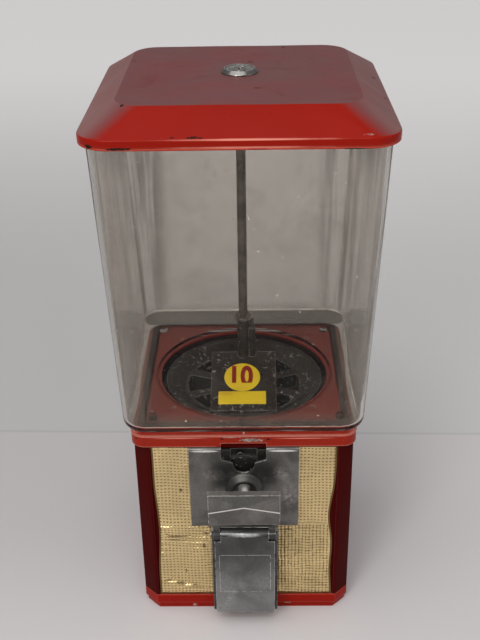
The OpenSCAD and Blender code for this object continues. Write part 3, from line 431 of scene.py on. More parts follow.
def plating(name, metal, dull, stain_scale, spots, shade=(), glints=(), pale=(), ridge=None, fade=None):
    """Aged plating: stained, scuffed pale, brighter at edges through wear and at painted highlights.

    The shade spots are painted shade, the glint spots are painted highlights and the pale spots are lighter
    patches. Ridge is a painted highlight line that rises to the middle: half its width, its low height, its
    rise and its front, in millimetres. The height shade is a high and a low height in metres and a share:
    from the low to the high one the metal darkens to that share of its tone, as painted shade.
    """
    material, t, shader = new_material(name, {})
    where = t.split(t.place())
    dark_patches = t.group(stains(), scale=stain_scale, spots=spots)
    tone = t.mix(dark_patches, rgb(metal, 1.15), rgb(metal, 0.66))
    scuff = t.cloud(110.0, 0.55, 0.70, detail=9.0, rough=0.78)
    tone = t.lay(tone, rgb(metal, 2.1), scuff, 0.5)
    grain = t.cloud(900.0, 0.4, 0.62, detail=3.0)
    tone = t.lay(tone, rgb(metal, 0.6), grain, 0.35)
    if shade:
        zone = marks(t, shade, scale=70.0, ragged=1.0, inner=0.35)
        tone = t.lay(tone, rgb(metal, 0.3), zone, 0.6)
    if pale:
        patchy = t.cloud(300.0, 0.38, 0.66, detail=8.0, rough=0.8)
        lightened = t.times(marks(t, pale, scale=120.0, ragged=1.0, inner=0.1), patchy)
        tone = t.lay(tone, rgb(metal, 2.6), lightened, 0.8)
    # painted shade: the metal darkens from one height to another
    if fade:
        high, low, least = fade
        tone = t.mix(t.step(where[2], low, high), tone, t.mix(least, rgb(BLACK), tone))
    brightened = t.group(edge_patches(), reach=0.7 * MM, coverage=0.72, scale=300.0)
    # painted highlights: the glint spots are lighter and less metallic, joined with the wear along edges
    gleam = marks(t, glints, scale=400.0, ragged=0.25, inner=0.6) if glints else 0.0
    brightened = t.most(brightened, gleam)
    # painted highlight: a pale line along the handle's ridge, rising to the middle
    if ridge:
        half, low, rise, front = [v * MM for v in ridge]
        slope = t.less(1.0, t.math("DIVIDE", t.size(where[0]), half))
        line = t.size(t.less(where[2], t.math("MULTIPLY_ADD", slope, rise, low)))
        ahead = t.step(where[1], front + 0.0015, front + 0.0005)
        near = t.times(t.step(line, 0.62 * MM, 0.25 * MM), ahead)
        brightened = t.most(brightened, t.times(near, t.cloud(260.0, 0.25, 0.4)))
    tone = t.lay(tone, shifted(metal, 4.5, 4.5, 4.5), brightened, 0.9)
    up = t.step(t.split(t.normal())[2], 0.8, 0.97)
    rough = t.plus(t.step(dark_patches, 0.0, 1.0, dull, dull + 0.12), t.times(scuff, 0.08))
    rough = t.plus(t.less(rough, t.times(brightened, 0.1)), t.times(up, 0.12))
    height = t.plus(t.noise(330.0, detail=6.0, rough=0.68), t.times(grain, 0.2))
    # a painted highlight is made less metallic, so it shows as a pale line
    metallic = t.less(1.0, t.most(t.times(up, 0.45), t.times(gleam, 0.6)))
    relief = bump(t, height, 0.35, 0.14 * MM)
    join(t, shader, Base_Color=tone, Metallic=metallic, Roughness=rough, Normal=relief)
    return material


def casting(name, metal, dusty, edge=0.8):
    """Dark die casting with pits, polish on its edges and pale crumbs and dust."""
    material, t, shader = new_material(name, {"Metallic": 0.7})
    cloud = t.noise(60.0, detail=8.0, rough=0.68)
    tone = t.mix(t.step(cloud, 0.32, 0.68), rgb(metal, 0.5), rgb(metal, 1.5))
    lying = t.group(sheen_and_dust(), amount=1.0, scale=90.0, **{"from": 0.6, "to": 0.95})
    tone = t.mix(t.times(lying, dusty), tone, rgb((0.12, 0.114, 0.10)))
    crumb = t.cloud(340.0, 0.575, 0.64, detail=4.0, rough=0.6)
    clump = t.times(t.cloud(36.0, 0.42, 0.6, detail=3.0), crumb)
    tone = t.lay(tone, rgb((0.60, 0.57, 0.52)), clump, 0.8)
    brightened = t.group(edge_patches(), reach=0.8 * MM, coverage=0.92, scale=200.0)
    tone = t.mix(t.times(brightened, edge), tone, rgb((0.70, 0.67, 0.62)))
    rough = t.less(t.step(cloud, 0.3, 0.7, 0.26, 0.52), t.times(brightened, 0.1))
    height = t.plus(t.noise(420.0, detail=6.0, rough=0.65), clump)
    join(t, shader, Base_Color=tone, Roughness=rough, Normal=bump(t, height, 0.55, 0.25 * MM))
    return material


def foil_metal(name, gold, stains_and_fold_shade):
    """Gold foil, browner in the grooves of its embossing, from grime and as painted shade, and where it is
    scuffed or has stains; some of its dark patches are painted shade of its folds.
    """
    material, t, shader = new_material(name, {"Metallic": 0.85})
    relief = t.add("ShaderNodeAttribute", attribute_name="relief").outputs["Fac"]
    cloud = t.noise(30.0, detail=6.0)
    tone = t.mix(t.step(cloud, 0.35, 0.7), rgb(gold, 1.05), rgb(gold, 0.82))
    # grime in the grooves of the embossing, and painted shade of the grooves as well
    tone = t.mix(t.step(relief, 0.66, 0.14), tone, rgb((0.20, 0.13, 0.045)))
    grime = t.cloud(150.0, 0.60, 0.76, detail=6.0, rough=0.7)
    tone = t.lay(tone, rgb((0.24, 0.14, 0.05)), grime, 0.5)
    # stains, and dark patches along the creases that are painted shade of the folds
    dark_patches = marks(t, stains_and_fold_shade, scale=330.0, ragged=1.2, inner=0.15)
    tone = t.lay(tone, rgb((0.055, 0.03, 0.008)), dark_patches, 0.8)
    rough = t.plus(t.step(cloud, 0.3, 0.7, 0.29, 0.42), t.times(dark_patches, 0.2))
    height = t.plus(t.times(relief, 2.0), t.times(t.noise(420.0, detail=3.0), 0.35))
    join(t, shader, Base_Color=tone, Roughness=rough, Normal=bump(t, height, 0.6, 0.22 * MM))
    return material


def clear_acrylic(name, tint):
    """Clear plastic, slightly wavy, with cloudy rubbed patches."""
    fixed = {"Transmission Weight": 1.0, "IOR": 1.2, "Metallic": 0.0}
    material, t, shader = new_material(name, fixed)
    blocked = t.times(t.add("ShaderNodeLightPath").outputs["Is Shadow Ray"], 0.86)
    join(t, shader, Alpha=t.less(1.0, blocked))
    tone = t.mix(t.cloud(22.0, 0.4, 0.75, detail=5.0), rgb(tint), rgb(tint, 0.92))
    haze = t.cloud(13.0, 0.45, 0.75, detail=7.0, stretch=(1, 1, 0.4), rough=0.65)
    rough = t.plus(t.times(haze, 0.03), 0.01)
    height = t.times(t.noise(14.0, detail=1.0), 2.0)
    join(t, shader, Base_Color=tone, Roughness=rough, Normal=bump(t, height, 0.10, 0.25 * MM))
    return material


def grime_and_painted_light(name, tone, low):
    """Thin grime on the inside of the globe: cloudy haze and crumbs. Painted light as well: streaks down the
    corners and haze over the bottom fillet stand in for the walls' refraction, a darker low band at the back
    is painted shade, and pale lines low on the front and back are painted highlights.
    """
    material, t, shader = new_material(name, {"Roughness": 0.7, "Specular IOR Level": 0.2})
    x, y, z = t.split(t.place())
    wide, deep = t.size(x), t.size(y)
    above = t.step(z, low + 0.004, low + 0.010)
    # painted refraction: streaks of haze down the corners stand in for the walls' refraction
    column = t.cloud(90.0, 0.42, 0.66, detail=3.0, stretch=(1, 1, 0.03))
    corner_refraction = t.times(t.step(t.least(wide, deep), 0.056, 0.070), column, above, 0.34)
    # painted refraction over the bottom fillet, and a painted shade band low on the back wall
    fillet = t.times(t.step(t.most(wide, deep), 0.0675, 0.0705), t.step(z, low + 0.020, low + 0.010))
    behind = t.times(t.step(y, 0.067, 0.070), t.step(z, low + 0.0102, low + 0.0090))
    cloud = t.cloud(26.0, 0.45, 0.8, detail=8.0, rough=0.7, distortion=0.5)
    back = t.step(y, -0.02, 0.06, 0.12, 1.0)
    alpha = t.plus(t.times(cloud, back, above, 0.13), corner_refraction)
    alpha = t.most(alpha, t.times(fillet, 0.16), t.times(behind, 0.5))
    # painted highlights: pale lines low on the front and back walls
    front_line = t.step(t.size(t.less(z, low + 0.0050)), 0.0008, 0.0003)
    back_line = t.step(t.size(t.less(z, low + 0.0102)), 0.0012, 0.0006)
    line = t.mix(t.step(y, 0.05, 0.06), front_line, back_line)
    edge = t.times(line, t.cloud(60.0, 0.3, 0.5, 0.4, 0.85))
    crumb = t.most(t.cloud(330.0, 0.735, 0.76, detail=2.0), marks(t, GLOBE_CRUMBS, scale=900.0))
    bright = t.most(crumb, edge)
    alpha = t.most(alpha, edge, t.times(crumb, 0.6))
    uneven = t.mix(t.cloud(60.0, 0.35, 0.65), rgb(tone, 0.8), rgb(tone, 1.15))
    shade = t.mix(bright, uneven, rgb(PALE_CRUMB_AND_HIGHLIGHT))
    # painted shade: the low band at the back is darker
    shade = t.mix(t.math("SUBTRACT", behind, bright, clamp=True), shade, rgb(tone, 0.5))
    rough = t.cloud(80.0, 0.3, 0.7, 0.55, 0.75)
    join(t, shader, Base_Color=shade, Alpha=alpha, Roughness=rough)
    return material


def sticker(name, paper, ink_amount):
    """Printed yellow sticker, scuffed and stained."""
    material, t, shader = new_material(name, {"Coat Weight": 0.1})
    tone = t.mix(t.noise(60.0, detail=5.0), rgb(paper, 0.85), rgb(paper, 1.05))
    dirt = t.cloud(190.0, 0.6, 0.74, detail=6.0, rough=0.7)
    tone = t.lay(tone, rgb((0.24, 0.17, 0.05)), dirt, 0.4)
    if ink_amount:
        bands = t.cloud(70.0, 0.6, 0.66, detail=3.0, stretch=(0.5, 1, 3))
        tone = t.mix(t.times(bands, ink_amount), tone, rgb((0.45, 0.2, 0.03)))
    rough = t.cloud(90.0, 0.3, 0.7, 0.42, 0.6)
    join(t, shader, Base_Color=tone, Roughness=rough, Normal=bump(t, t.noise(300.0), 0.3, 0.08 * MM))
    return material


def ink(name, tone):
    material, t, shader = new_material(name, {})
    faded = t.mix(t.cloud(500.0, 0.45, 0.75, detail=4.0), rgb(tone), rgb(tone, 1.5))
    join(t, shader, Base_Color=faded, Roughness=t.cloud(200.0, 0.3, 0.7, 0.45, 0.6))
    return material


def bristle_fibre(name):
    material, t, shader = new_material(name, {})
    tone = t.mix(t.noise(900.0), rgb((0.012, 0.011, 0.01)), rgb((0.06, 0.055, 0.045)))
    join(t, shader, Base_Color=tone, Roughness=t.cloud(400.0, 0.3, 0.7, 0.5, 0.75))
    return material


# Places and half sizes of marks, in millimetres.
LID_NICKS = [
    (-68, -94.5, 370, 8.5, 3, 0.8),
    (-86, -91, 370.5, 3.5, 3, 1.2),
    (-38, -94.5, 376, 1.8, 2, 0.6),
    (-25, -94.5, 376, 6.5, 2, 0.7),
    (-24.5, -94, 378.6, 1.0, 1.5, 0.5),
    (88, -93, 378.5, 2.2, 2.2, 0.9),
    (66, -94.8, 368.9, 8, 2, 0.5),
    (7, 26.5, 389, 2.4, 1.0, 2),
    (11, -38.6, 389, 2.4, 0.9, 2),
    (30, 68, 389, 1.4, 1.2, 2),
    (89, 20, 379, 3, 1.4, 1.2),
    (92, -22, 377, 2.5, 1.0, 1.2),
    (-68, -71, 388.5, 1.4, 1.0, 1.0),
]
LID_BARE = [
    (-45, -95, 375.9, 10, 1.5, 0.28),
    (74, -94.5, 376.6, 4, 3, 0.8),
    (83, -94, 377.2, 2, 3, 0.6),
    (90, -92.5, 377.6, 4, 3, 0.9),
]
# painted highlights along the lid's lower fold and lip, and along the pan's skirt
LID_HIGHLIGHTS = [(8, -95.2, 374.8, 62, 6, 0.8), (5, -95.2, 370.3, 60, 6, 0.9)]
PAN_HIGHLIGHTS = [(-44, -78.4, 158.2, 26, 4, 0.6), (42, -78.4, 157.7, 26, 4, 0.6)]
PAN_BARE = [
    (-9, -78.4, 158.8, 7.5, 2, 0.5),
    (7, -78.4, 159.3, 10, 2, 0.32),
    (5, -78.6, 156.4, 9.5, 1.5, 1.5),
    (0, -76, 161, 0.7, 2, 2.5),
]
PAN_DARK = [
    (-15, -78.4, 157.5, 1.4, 2, 0.6),
    (17, -78.4, 157, 1.2, 2, 0.9),
    (-74, -77, 157, 0.8, 2, 0.8),
]
BASE_BARE = [(-39, -76.5, 2, 2.2, 2, 1.3), (32, -76.5, 4, 4.2, 2, 0.9)]
GLOBE_CRUMBS = [(13, -80, 303, 0.8, 3, 0.8), (35, -80, 295.5, 1.6, 3, 0.9), (24, 80, 300, 5, 3, 1.2)]
PLATE_SHADE = [(0, -79, 122, 23, 9, 8), (0, -79, 134, 9, 9, 4)]
PLATE_PALE = [
    (-21, -80, 128, 11, 3, 8),
    (26, -80, 129, 10, 3, 9),
    (-8, -80, 128, 6, 3, 4),
    (32, -80, 110, 8, 3, 16),
]
# painted highlight along the door's hinge roll
DOOR_ROLL_GLINT = [(0, -92.0, 85.2, 22.5, 3, 2.3)]
# stains on the foil; the spots along the fold at about 66 to 72 mm on the left and along the low diagonal
# crease on the left are painted shade of the folds
FOIL_STAINS_AND_FOLD_SHADE = [
    (-28, -76, 73, 3.5, 3, 2.2),
    (-30, -76, 61, 2, 3, 4),
    (-58, -76, 28, 4, 3, 1.2),
    (-49, -76, 25.6, 5, 3, 1.5),
    (-39, -76, 23.6, 5, 3, 1.1),
    (-52, -76, 66.5, 12, 3, 1.0),
    (-45, -76, 112, 1.6, 3, 2.4),
    (-50, -76, 70, 13, 3, 1.3),
    (-57, -76, 72, 1.2, 3, 1.0),
    (31, -76, 76, 6, 3, 1.0),
    (-44, -76, 37, 0.8, 3, 3),
]


def red_enamel(name, under, chips, sheen_amount, **places):
    """Red paint. The pan, whose round opening is painted dark as shade, has its own red and its own painted
    sheen.
    """
    chosen = colours()
    paint, sheen = (chosen.pan_red, chosen.pan_sheen) if "pit" in places else (chosen.red, chosen.sheen_and_dust)
    return finish_of(name, enamel, paint, sheen, under, chips, sheen_amount, RED_GLOSS, RED_SHINE, **places)


def lid_paint():
    places = {"dark": LID_NICKS, "bare": LID_BARE, "gleam": LID_HIGHLIGHTS}
    return red_enamel("red enamel of the lid", (0.10, 0.075, 0.055), 0.16, 1.0, **places)


def pan_paint():
    places = {"dark": PAN_DARK, "bare": PAN_BARE, "raw": (0.42, 0.36, 0.31), "gleam": PAN_HIGHLIGHTS}
    # painted shade inside the round opening, below this height
    places["pit"] = (0.0635, (PAN_HIGH.z - 1.2) * MM)
    return red_enamel("red enamel of the pan", (0.3, 0.2, 0.16), 0.22, 1.0, **places)


def base_paint():
    return red_enamel("red enamel of the base", (0.62, 0.55, 0.5), 0.24, 0.3, bare=BASE_BARE)


def maroon_paint():
    tone = colours().maroon
    sheen_tone, under = (0.075, 0.014, 0.012), (0.12, 0.03, 0.025)
    return finish_of("maroon enamel", enamel, tone, sheen_tone, under, 0.2, 0.2, 0.45, 0.02)


def chromed(name, share, *values, **places):
    tone = [c * share for c in colours().chrome]
    return finish_of(name, plating, tone, *values, **places)


def chrome():
    return chromed("aged chrome", 1.0, 0.32, 40.0, 0.35)


def bright_chrome():
    return chromed("bright chrome", 1.7, 0.22, 60.0, 0.3)


def plate_chrome():
    top = PLATE_HIGH.z - 2.0
    # painted highlights along the plate's rolled top edge
    glints = [(side * 27, -79.6, top, 11.5, 3, 0.95) for side in (-1, 1)]
    places = {"shade": PLATE_SHADE, "glints": glints, "pale": PLATE_PALE}
    return chromed("aged chrome of the plate", 1.04, 0.36, 55.0, 0.2, **places)


def handle_chrome():
    low, high = node_box("handle")
    middle = (low.z + high.z) / 2
    # painted highlight on top of the handle's neck
    glints = [(0.4, -91, middle + 5.2, 3.4, 9, 3.4)]
    # painted highlight along the handle's ridge
    ridge = (high.x, middle, 4.6, low.y)
    return chromed("aged chrome of the handle", 1.25, 0.36, 60.0, 0.4, glints=glints, ridge=ridge)


# darker, duller copy of the chrome for the handle's bush and the chute housing: its darkness is painted
# shade under the handle
def shaded_chrome():
    return chromed("dull casting", 0.5, 0.46, 60.0, 0.4)


def door_metal():
    tone = colours().door
    # painted shade: the door darkens towards its top, under the handle
    fade = (0.076, 0.016, 0.33)
    return finish_of("door casting", plating, tone, 0.32, 34.0, 0.3, glints=DOOR_ROLL_GLINT, fade=fade)


def steel():
    return finish_of("plated steel", plating, colours().steel, 0.36, 90.0, 0.8)


def zinc():
    return finish_of("dark casting", casting, colours().zinc, 0.35)


def dark_zinc():
    tone = [c * 0.4 for c in colours().zinc]
    return finish_of("dark casting of the coin slot", casting, tone, 0.0, 0.22)


# ---------------------------------------------------------------- meshes


def piece_from(name, points, faces, material, smooth_angle=40):
    """Closed or open mesh piece from points in millimetres, with its normals made to agree."""
    mesh = bpy.data.meshes.new(name)
    mesh.from_pydata((np.asarray(points, float) * MM).tolist(), [], faces)
    bm = bmesh.new()
    bm.from_mesh(mesh)
    bmesh.ops.remove_doubles(bm, verts=bm.verts, dist=1e-6)
    bmesh.ops.recalc_face_normals(bm, faces=bm.faces)
    bm.to_mesh(mesh)
    bm.free()
    return show(name, mesh, material, smooth_angle)


def show(name, mesh, material, smooth_angle=40):
    mesh.shade_smooth()
    mesh.set_sharp_from_angle(angle=math.radians(smooth_angle))
    mesh.materials.clear()
    mesh.materials.append(material)
    piece = bpy.data.objects.new(name, mesh)
    bpy.context.scene.collection.objects.link(piece)
    return piece


def settle(piece, body, slot, *nodes):
    """Rides the piece on its body and lets it stand for CAD nodes, which it hides. The slot is not used."""
    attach(piece, body)
    if nodes:
        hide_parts(*nodes)
    return piece


def square_ring(half, radius, z):
    """Points round a square with round corners, the same number whatever its size."""
    radius = min(radius, half)
    far = half - radius
    points = []
    for quarter in range(4):
        turn = quarter * math.pi / 2
        corner = Matrix.Rotation(turn, 2) @ Vector((far, far))
        for i in range(CORNER_POINTS + 1):
            a = turn + math.pi / 2 * i / CORNER_POINTS
            points.append((corner.x + radius * math.cos(a), corner.y + radius * math.sin(a), z))
        start = Vector(points[-1][:2])
        end = Matrix.Rotation(turn + math.pi / 2, 2) @ Vector((half, far))
        for i in range(1, SIDE_POINTS):
            p = start.lerp(end, i / SIDE_POINTS)
            points.append((p.x, p.y, z))
    return points


def round_ring(radius, z):
    """Circle with its points in the same directions as a square ring's."""
    points = []
    for x, y, _ in square_ring(1.0, 0.25, 0):
        far = math.hypot(x, y)
        points.append((radius * x / far, radius * y / far, z))
    return points


def circle(radius, count):
    """Evenly spaced points round a circle, as pairs."""
    turns = np.linspace(0, 2 * math.pi, count, endpoint=False)
    return [(radius * math.cos(a), radius * math.sin(a)) for a in turns]


def loft(rings, closed=True):
    """Points and faces that join each ring to the next. A closed loft joins the last to the first too."""
    count = len(rings[0])
    faces = []
    for r in range(len(rings) if closed else len(rings) - 1):
        a, b = r * count, (r + 1) % len(rings) * count
        faces += [(a + i, a + (i + 1) % count, b + (i + 1) % count, b + i) for i in range(count)]
    return [p for ring in rings for p in ring], faces


def capped(rings):
    """Loft whose first and last ring are filled in."""
    points, faces = loft(rings, closed=False)
    count = len(rings[0])
    last = len(points) - count
    return points, [*faces, list(range(count - 1, -1, -1)), list(range(last, last + count))]


def joined(parts):
    """Points and faces of several parts as one."""
    points, faces = [], []
    for more, sides in parts:
        start = len(points)
        points += more
        faces += [[start + i for i in side] for side in sides]
    return points, faces


def bell(value, middle, width):
    """Smooth bump of height 1 round a middle."""
    return math.exp(-(((value - middle) / width) ** 2))


def tent(value, middle, half):
    """Straight-sided bump of height 1 round a middle."""
    return max(0.0, 1 - abs(value - middle) / half)


def ripple(x, z, layer, scale):
    """Smooth noise over a sheet, different in each layer."""
    return noise.noise(Vector((x, z, layer)) * scale)


def rounded_profile(points, radius, steps=4):
    """Profile with each inner corner replaced by an arc. A point may carry its own radius."""
    out = []
    for i, point in enumerate(points):
        p = Vector(point[:2])
        r = point[2] if len(point) > 2 else radius
        if r <= 0:
            out.append(tuple(p))
            continue
        before, after = Vector(points[i - 1][:2]) - p, Vector(points[(i + 1) % len(points)][:2]) - p
        half_angle = before.angle(after) / 2
        cut = min(r / math.tan(half_angle), before.length * 0.45, after.length * 0.45)
        a, b = p + before.normalized() * cut, p + after.normalized() * cut
        for k in range(steps + 1):
            s = k / steps
            out.append(tuple(a * (1 - s) ** 2 + p * 2 * s * (1 - s) + b * s * s))
    return out


def sheet_rings(profile, corner_of, dents=0.0):
    """Square rings from a profile of half widths and heights, with shallow dents if asked for."""
    rings = []
    for half, z in profile:
        ring = square_ring(half, corner_of(half, z), z)
        for i, (x, y, h) in enumerate(ring if dents else ()):
            at = Vector((x, y, h))
            ring[i] = (x, y, h + dents * noise.noise(at * 0.028) + dents * 0.4 * noise.noise(at * 0.09))
        rings.append(ring)
    return rings


def dressed_copy(node, name, material, width=None, segments=2, sharp=32):
    """Copy of a CAD node with its flat faces joined and its edges rounded."""
    bm = bmesh.new()
    bm.from_mesh(NODES[node].data)
    bmesh.ops.remove_doubles(bm, verts=bm.verts, dist=2e-6)
    bmesh.ops.dissolve_limit(bm, angle_limit=math.radians(0.4), verts=bm.verts, edges=bm.edges)
    width = bpy.context.scene.machine_sizes.edge if width is None else width
    hard = [e for e in bm.edges if len(e.link_faces) == 2 and e.calc_face_angle(0) > math.radians(sharp)]
    if width and hard:
        how = {"offset": width, "segments": segments, "profile": 0.6, "affect": "EDGES"}
        bmesh.ops.bevel(bm, geom=hard, clamp_overlap=True, **how)
    bmesh.ops.triangulate(bm, faces=[f for f in bm.faces if len(f.verts) > 4])
    mesh = bpy.data.meshes.new(name)
    bm.to_mesh(mesh)
    bm.free()
    return show(name, mesh, material, smooth_angle=sharp)


def dress(node, name, material, slot, **how):
    return settle(dressed_copy(node, name, material, **how), BODY_OF[node], slot, node)


def recoat(node, material):
    """Gives a CAD node that is shown as it is its material."""
    node.data.materials.clear()
    node.data.materials.append(material)


def solid_grid(nx, nz, place, depth, keep=None):
    """Front grid of points from place(u, v), each with a back point at a depth, closed round its edge."""
    front = [[place(i / nx, k / nz) for k in range(nz + 1)] for i in range(nx + 1)]
    points, faces, index = [], [], {}

    def at(i, k, back):
        key = (i, k, back)
        if key not in index:
            x, y, z = front[i][k]
            index[key] = len(points)
            points.append((x, depth if back else y, z))
        return index[key]

    kept = [[keep is None or keep(*front[i][k], *front[i + 1][k + 1]) for k in range(nz)] for i in range(nx)]
    for i in range(nx):
        for k in range(nz):
            if not kept[i][k]:
                continue
            corners = [(i, k), (i + 1, k), (i + 1, k + 1), (i, k + 1)]
            faces.append([at(*c, False) for c in corners])
            faces.append([at(*c, True) for c in reversed(corners)])
            for e, (di, dk) in enumerate([(0, -1), (1, 0), (0, 1), (-1, 0)]):
                ni, nk = i + di, k + dk
                if not (0 <= ni < nx and 0 <= nk < nz and kept[ni][nk]):
                    a, b = corners[e], corners[(e + 1) % 4]
                    faces.append([at(*b, False), at(*a, False), at(*a, True), at(*b, True)])
    return points, faces


# ---------------------------------------------------------------- geometry nodes


def geometry_tree(name, inputs):
    """Geometry node tree with named inputs. Returns the tree, its helper and its input sockets."""
    tree = bpy.data.node_groups.new(name, "GeometryNodeTree")
    tree.interface.new_socket("Geometry", in_out="INPUT", socket_type="NodeSocketGeometry")
    for label, kind, default in inputs:
        socket = tree.interface.new_socket(label, in_out="INPUT", socket_type=kind)
        if default is not None:
            socket.default_value = default
    tree.interface.new_socket("Geometry", in_out="OUTPUT", socket_type="NodeSocketGeometry")
    t = Tree(tree)
    given = {s.name: s for s in t.add("NodeGroupInput").outputs}
    return tree, t, given


def end_tree(t, geometry, material):
    """Ends a geometry tree: its instances are made real and given the material."""
    real = t.add("GeometryNodeRealizeInstances", {0: geometry})
    coated = t.add("GeometryNodeSetMaterial", {"Geometry": real.outputs[0], "Material": material})
    t.add("NodeGroupOutput", {0: coated.outputs[0]})


def grown(piece, tree, values):
    """Result of a node tree on a piece, as a plain mesh with no modifier left."""
    modifier = piece.modifiers.new("Growth", "NODES")
    modifier.node_group = tree
    for item in tree.interface.items_tree:
        if item.in_out == "INPUT" and item.name in values:
            modifier[item.identifier] = values[item.name]
    piece.update_tag()
    bpy.context.view_layer.update()
    made = bpy.data.meshes.new_from_object(piece.evaluated_get(bpy.context.evaluated_depsgraph_get()))
    piece.modifiers.remove(modifier)
    return made


def embossing_tree():
    """Raises rows of short dashes out of a sheet that faces -Y, and notes the relief.

    At the lower right the dashes give way to a plain grid of squares.
    """
    inputs = [
        ("Pitch", "NodeSocketFloat", 0.0026),
        ("Relief", "NodeSocketFloat", 0.0004),
        ("Material", "NodeSocketMaterial", None),
    ]
    tree, t, given = geometry_tree("Embossed squares", inputs)

    def noted(name, kind):
        return t.add("GeometryNodeInputNamedAttribute", {"Name": name}, data_type=kind).outputs[0]

    where = t.split(noted("sheet", "FLOAT_VECTOR"))
    strength = noted("stamped", "FLOAT")
    waves = []
    for axis in (0, 2):
        phase = t.times(t.math("DIVIDE", where[axis], given["Pitch"]), math.pi)
        waves.append(t.math("POWER", t.size(t.math("SINE", phase)), 0.7))
    across, upright = waves
    rib = t.less(1.0, t.times(across, across, 1.1))
    dashes = t.most(t.math("POWER", upright, 1.6), rib)
    dashes = t.times(dashes, t.step(across, 0.0, 0.4, 0.62, 1.0))
    squares = t.math("POWER", t.times(across, upright), 0.7)
    corner = t.times(t.step(where[0], 0.0, 0.01), t.step(where[2], 0.086, 0.080))
    pattern = t.plus(dashes, t.times(corner, t.less(squares, dashes)))
    relief = t.times(pattern, strength)
    offset = t.add("ShaderNodeCombineXYZ", {1: t.times(relief, given["Relief"], -1.0)}).outputs[0]
    noting = {"Geometry": given["Geometry"], "Name": "relief", "Value": relief}
    stored = t.add("GeometryNodeStoreNamedAttribute", noting, data_type="FLOAT", domain="POINT")
    moved = t.add("GeometryNodeSetPosition", {"Geometry": stored.outputs[0], "Offset": offset})
    end_tree(t, moved.outputs[0], given["Material"])
    return tree


def bristle_tree():
    """Sets leaning bristles under every point of a row."""
    inputs = [
        ("Length", "NodeSocketFloat", 0.006),
        ("Thickness", "NodeSocketFloat", 0.0003),
        ("Lean", "NodeSocketFloat", 0.16),
        ("Seed", "NodeSocketInt", 3),
        ("Material", "NodeSocketMaterial", None),
    ]
    tree, t, given = geometry_tree("Bristles", inputs)
    hair_sizes = {"Vertices": 5, "Radius": given["Thickness"], "Depth": given["Length"]}
    hair = t.add("GeometryNodeMeshCylinder", hair_sizes)
    down = t.add("ShaderNodeCombineXYZ", {2: t.times(given["Length"], -0.5)}).outputs[0]
    hung = t.add("GeometryNodeTransform", {"Geometry": hair.outputs["Mesh"], "Translation": down})
    back = t.times(given["Lean"], -1.0)
    low = t.add("ShaderNodeCombineXYZ", {0: back, 1: back}).outputs[0]
    high = t.add("ShaderNodeCombineXYZ", {0: given["Lean"], 1: given["Lean"]}).outputs[0]
    draw = {0: low, 1: high, "Seed": given["Seed"]}
    lean = t.add("FunctionNodeRandomValue", draw, data_type="FLOAT_VECTOR").outputs[0]
    placing = {"Points": given["Geometry"], "Instance": hung.outputs[0], "Rotation": lean}
    spread = t.add("GeometryNodeInstanceOnPoints", placing)
    end_tree(t, spread.outputs[0], given["Material"])
    return tree


# ---------------------------------------------------------------- operators


class MACHINE_OT_lid(bpy.types.Operator):
    """Pressed steel lid with its folded slopes, round corners and rolled lip"""

    bl_idname = "machine.lid"
    bl_label = "Lid"

    def execute(self, context):
        fold = context.scene.machine_sizes.lid_round / MM
        low, high, half = LID_LOW.z, LID_HIGH.z, LID_HIGH.x
        crease = low + 6.2
        top_half, sheet = half - 21.5, 1.4
        profile = [
            (14.0, high, 0),
            (top_half * 0.55, high, 0),
            (top_half, high, fold * 0.7),
            (half, crease, fold),
            (half, low + 1.9, 0.6),
            (half - 0.45, low + 1.3, 0.5),
            (half, low + 0.7, 0.5),
            (half - 0.3, low, 0.5),
            (half - sheet, low, 0.5),
            (half - sheet, crease - 0.7, 1.0),
            (top_half - sheet, high - sheet, 1.0),
            (14.0, high - sheet, 0),
        ]
        outline = rounded_profile(profile, 1.0)

        def corner(h, z):
            return 4.0 + (20.8 - 4.0) * max(0.0, (h - 14.0) / (half - 14.0)) ** 0.9

        rings = sheet_rings(outline, corner, dents=0.16)
        bore = 8.3
        rings.insert(0, round_ring(bore, high + 0.02))
        rings.append(round_ring(bore, high - sheet))
        lid = piece_from("lid_pressing", *loft(rings), lid_paint(), 30)
        settle(lid, "lid", "red_paint", "lid")
        return {"FINISHED"}


class MACHINE_OT_lock(bpy.types.Operator):
    """Lock with its dished ring, barrel, nut and turning cylinder"""

    bl_idname = "machine.lock"
    bl_label = "Lock"

    def execute(self, context):
        dress("lock_ring", "lock_dish", bright_chrome(), "dull_chrome", width=0.25 * MM)
        dress("lock_barrel", "lock_sleeve", bright_chrome(), "dull_chrome", width=0.3 * MM)
        dress("lock_cylinder", "lock_plug", steel(), "plated_steel", width=0.15 * MM)
        return {"FINISHED"}


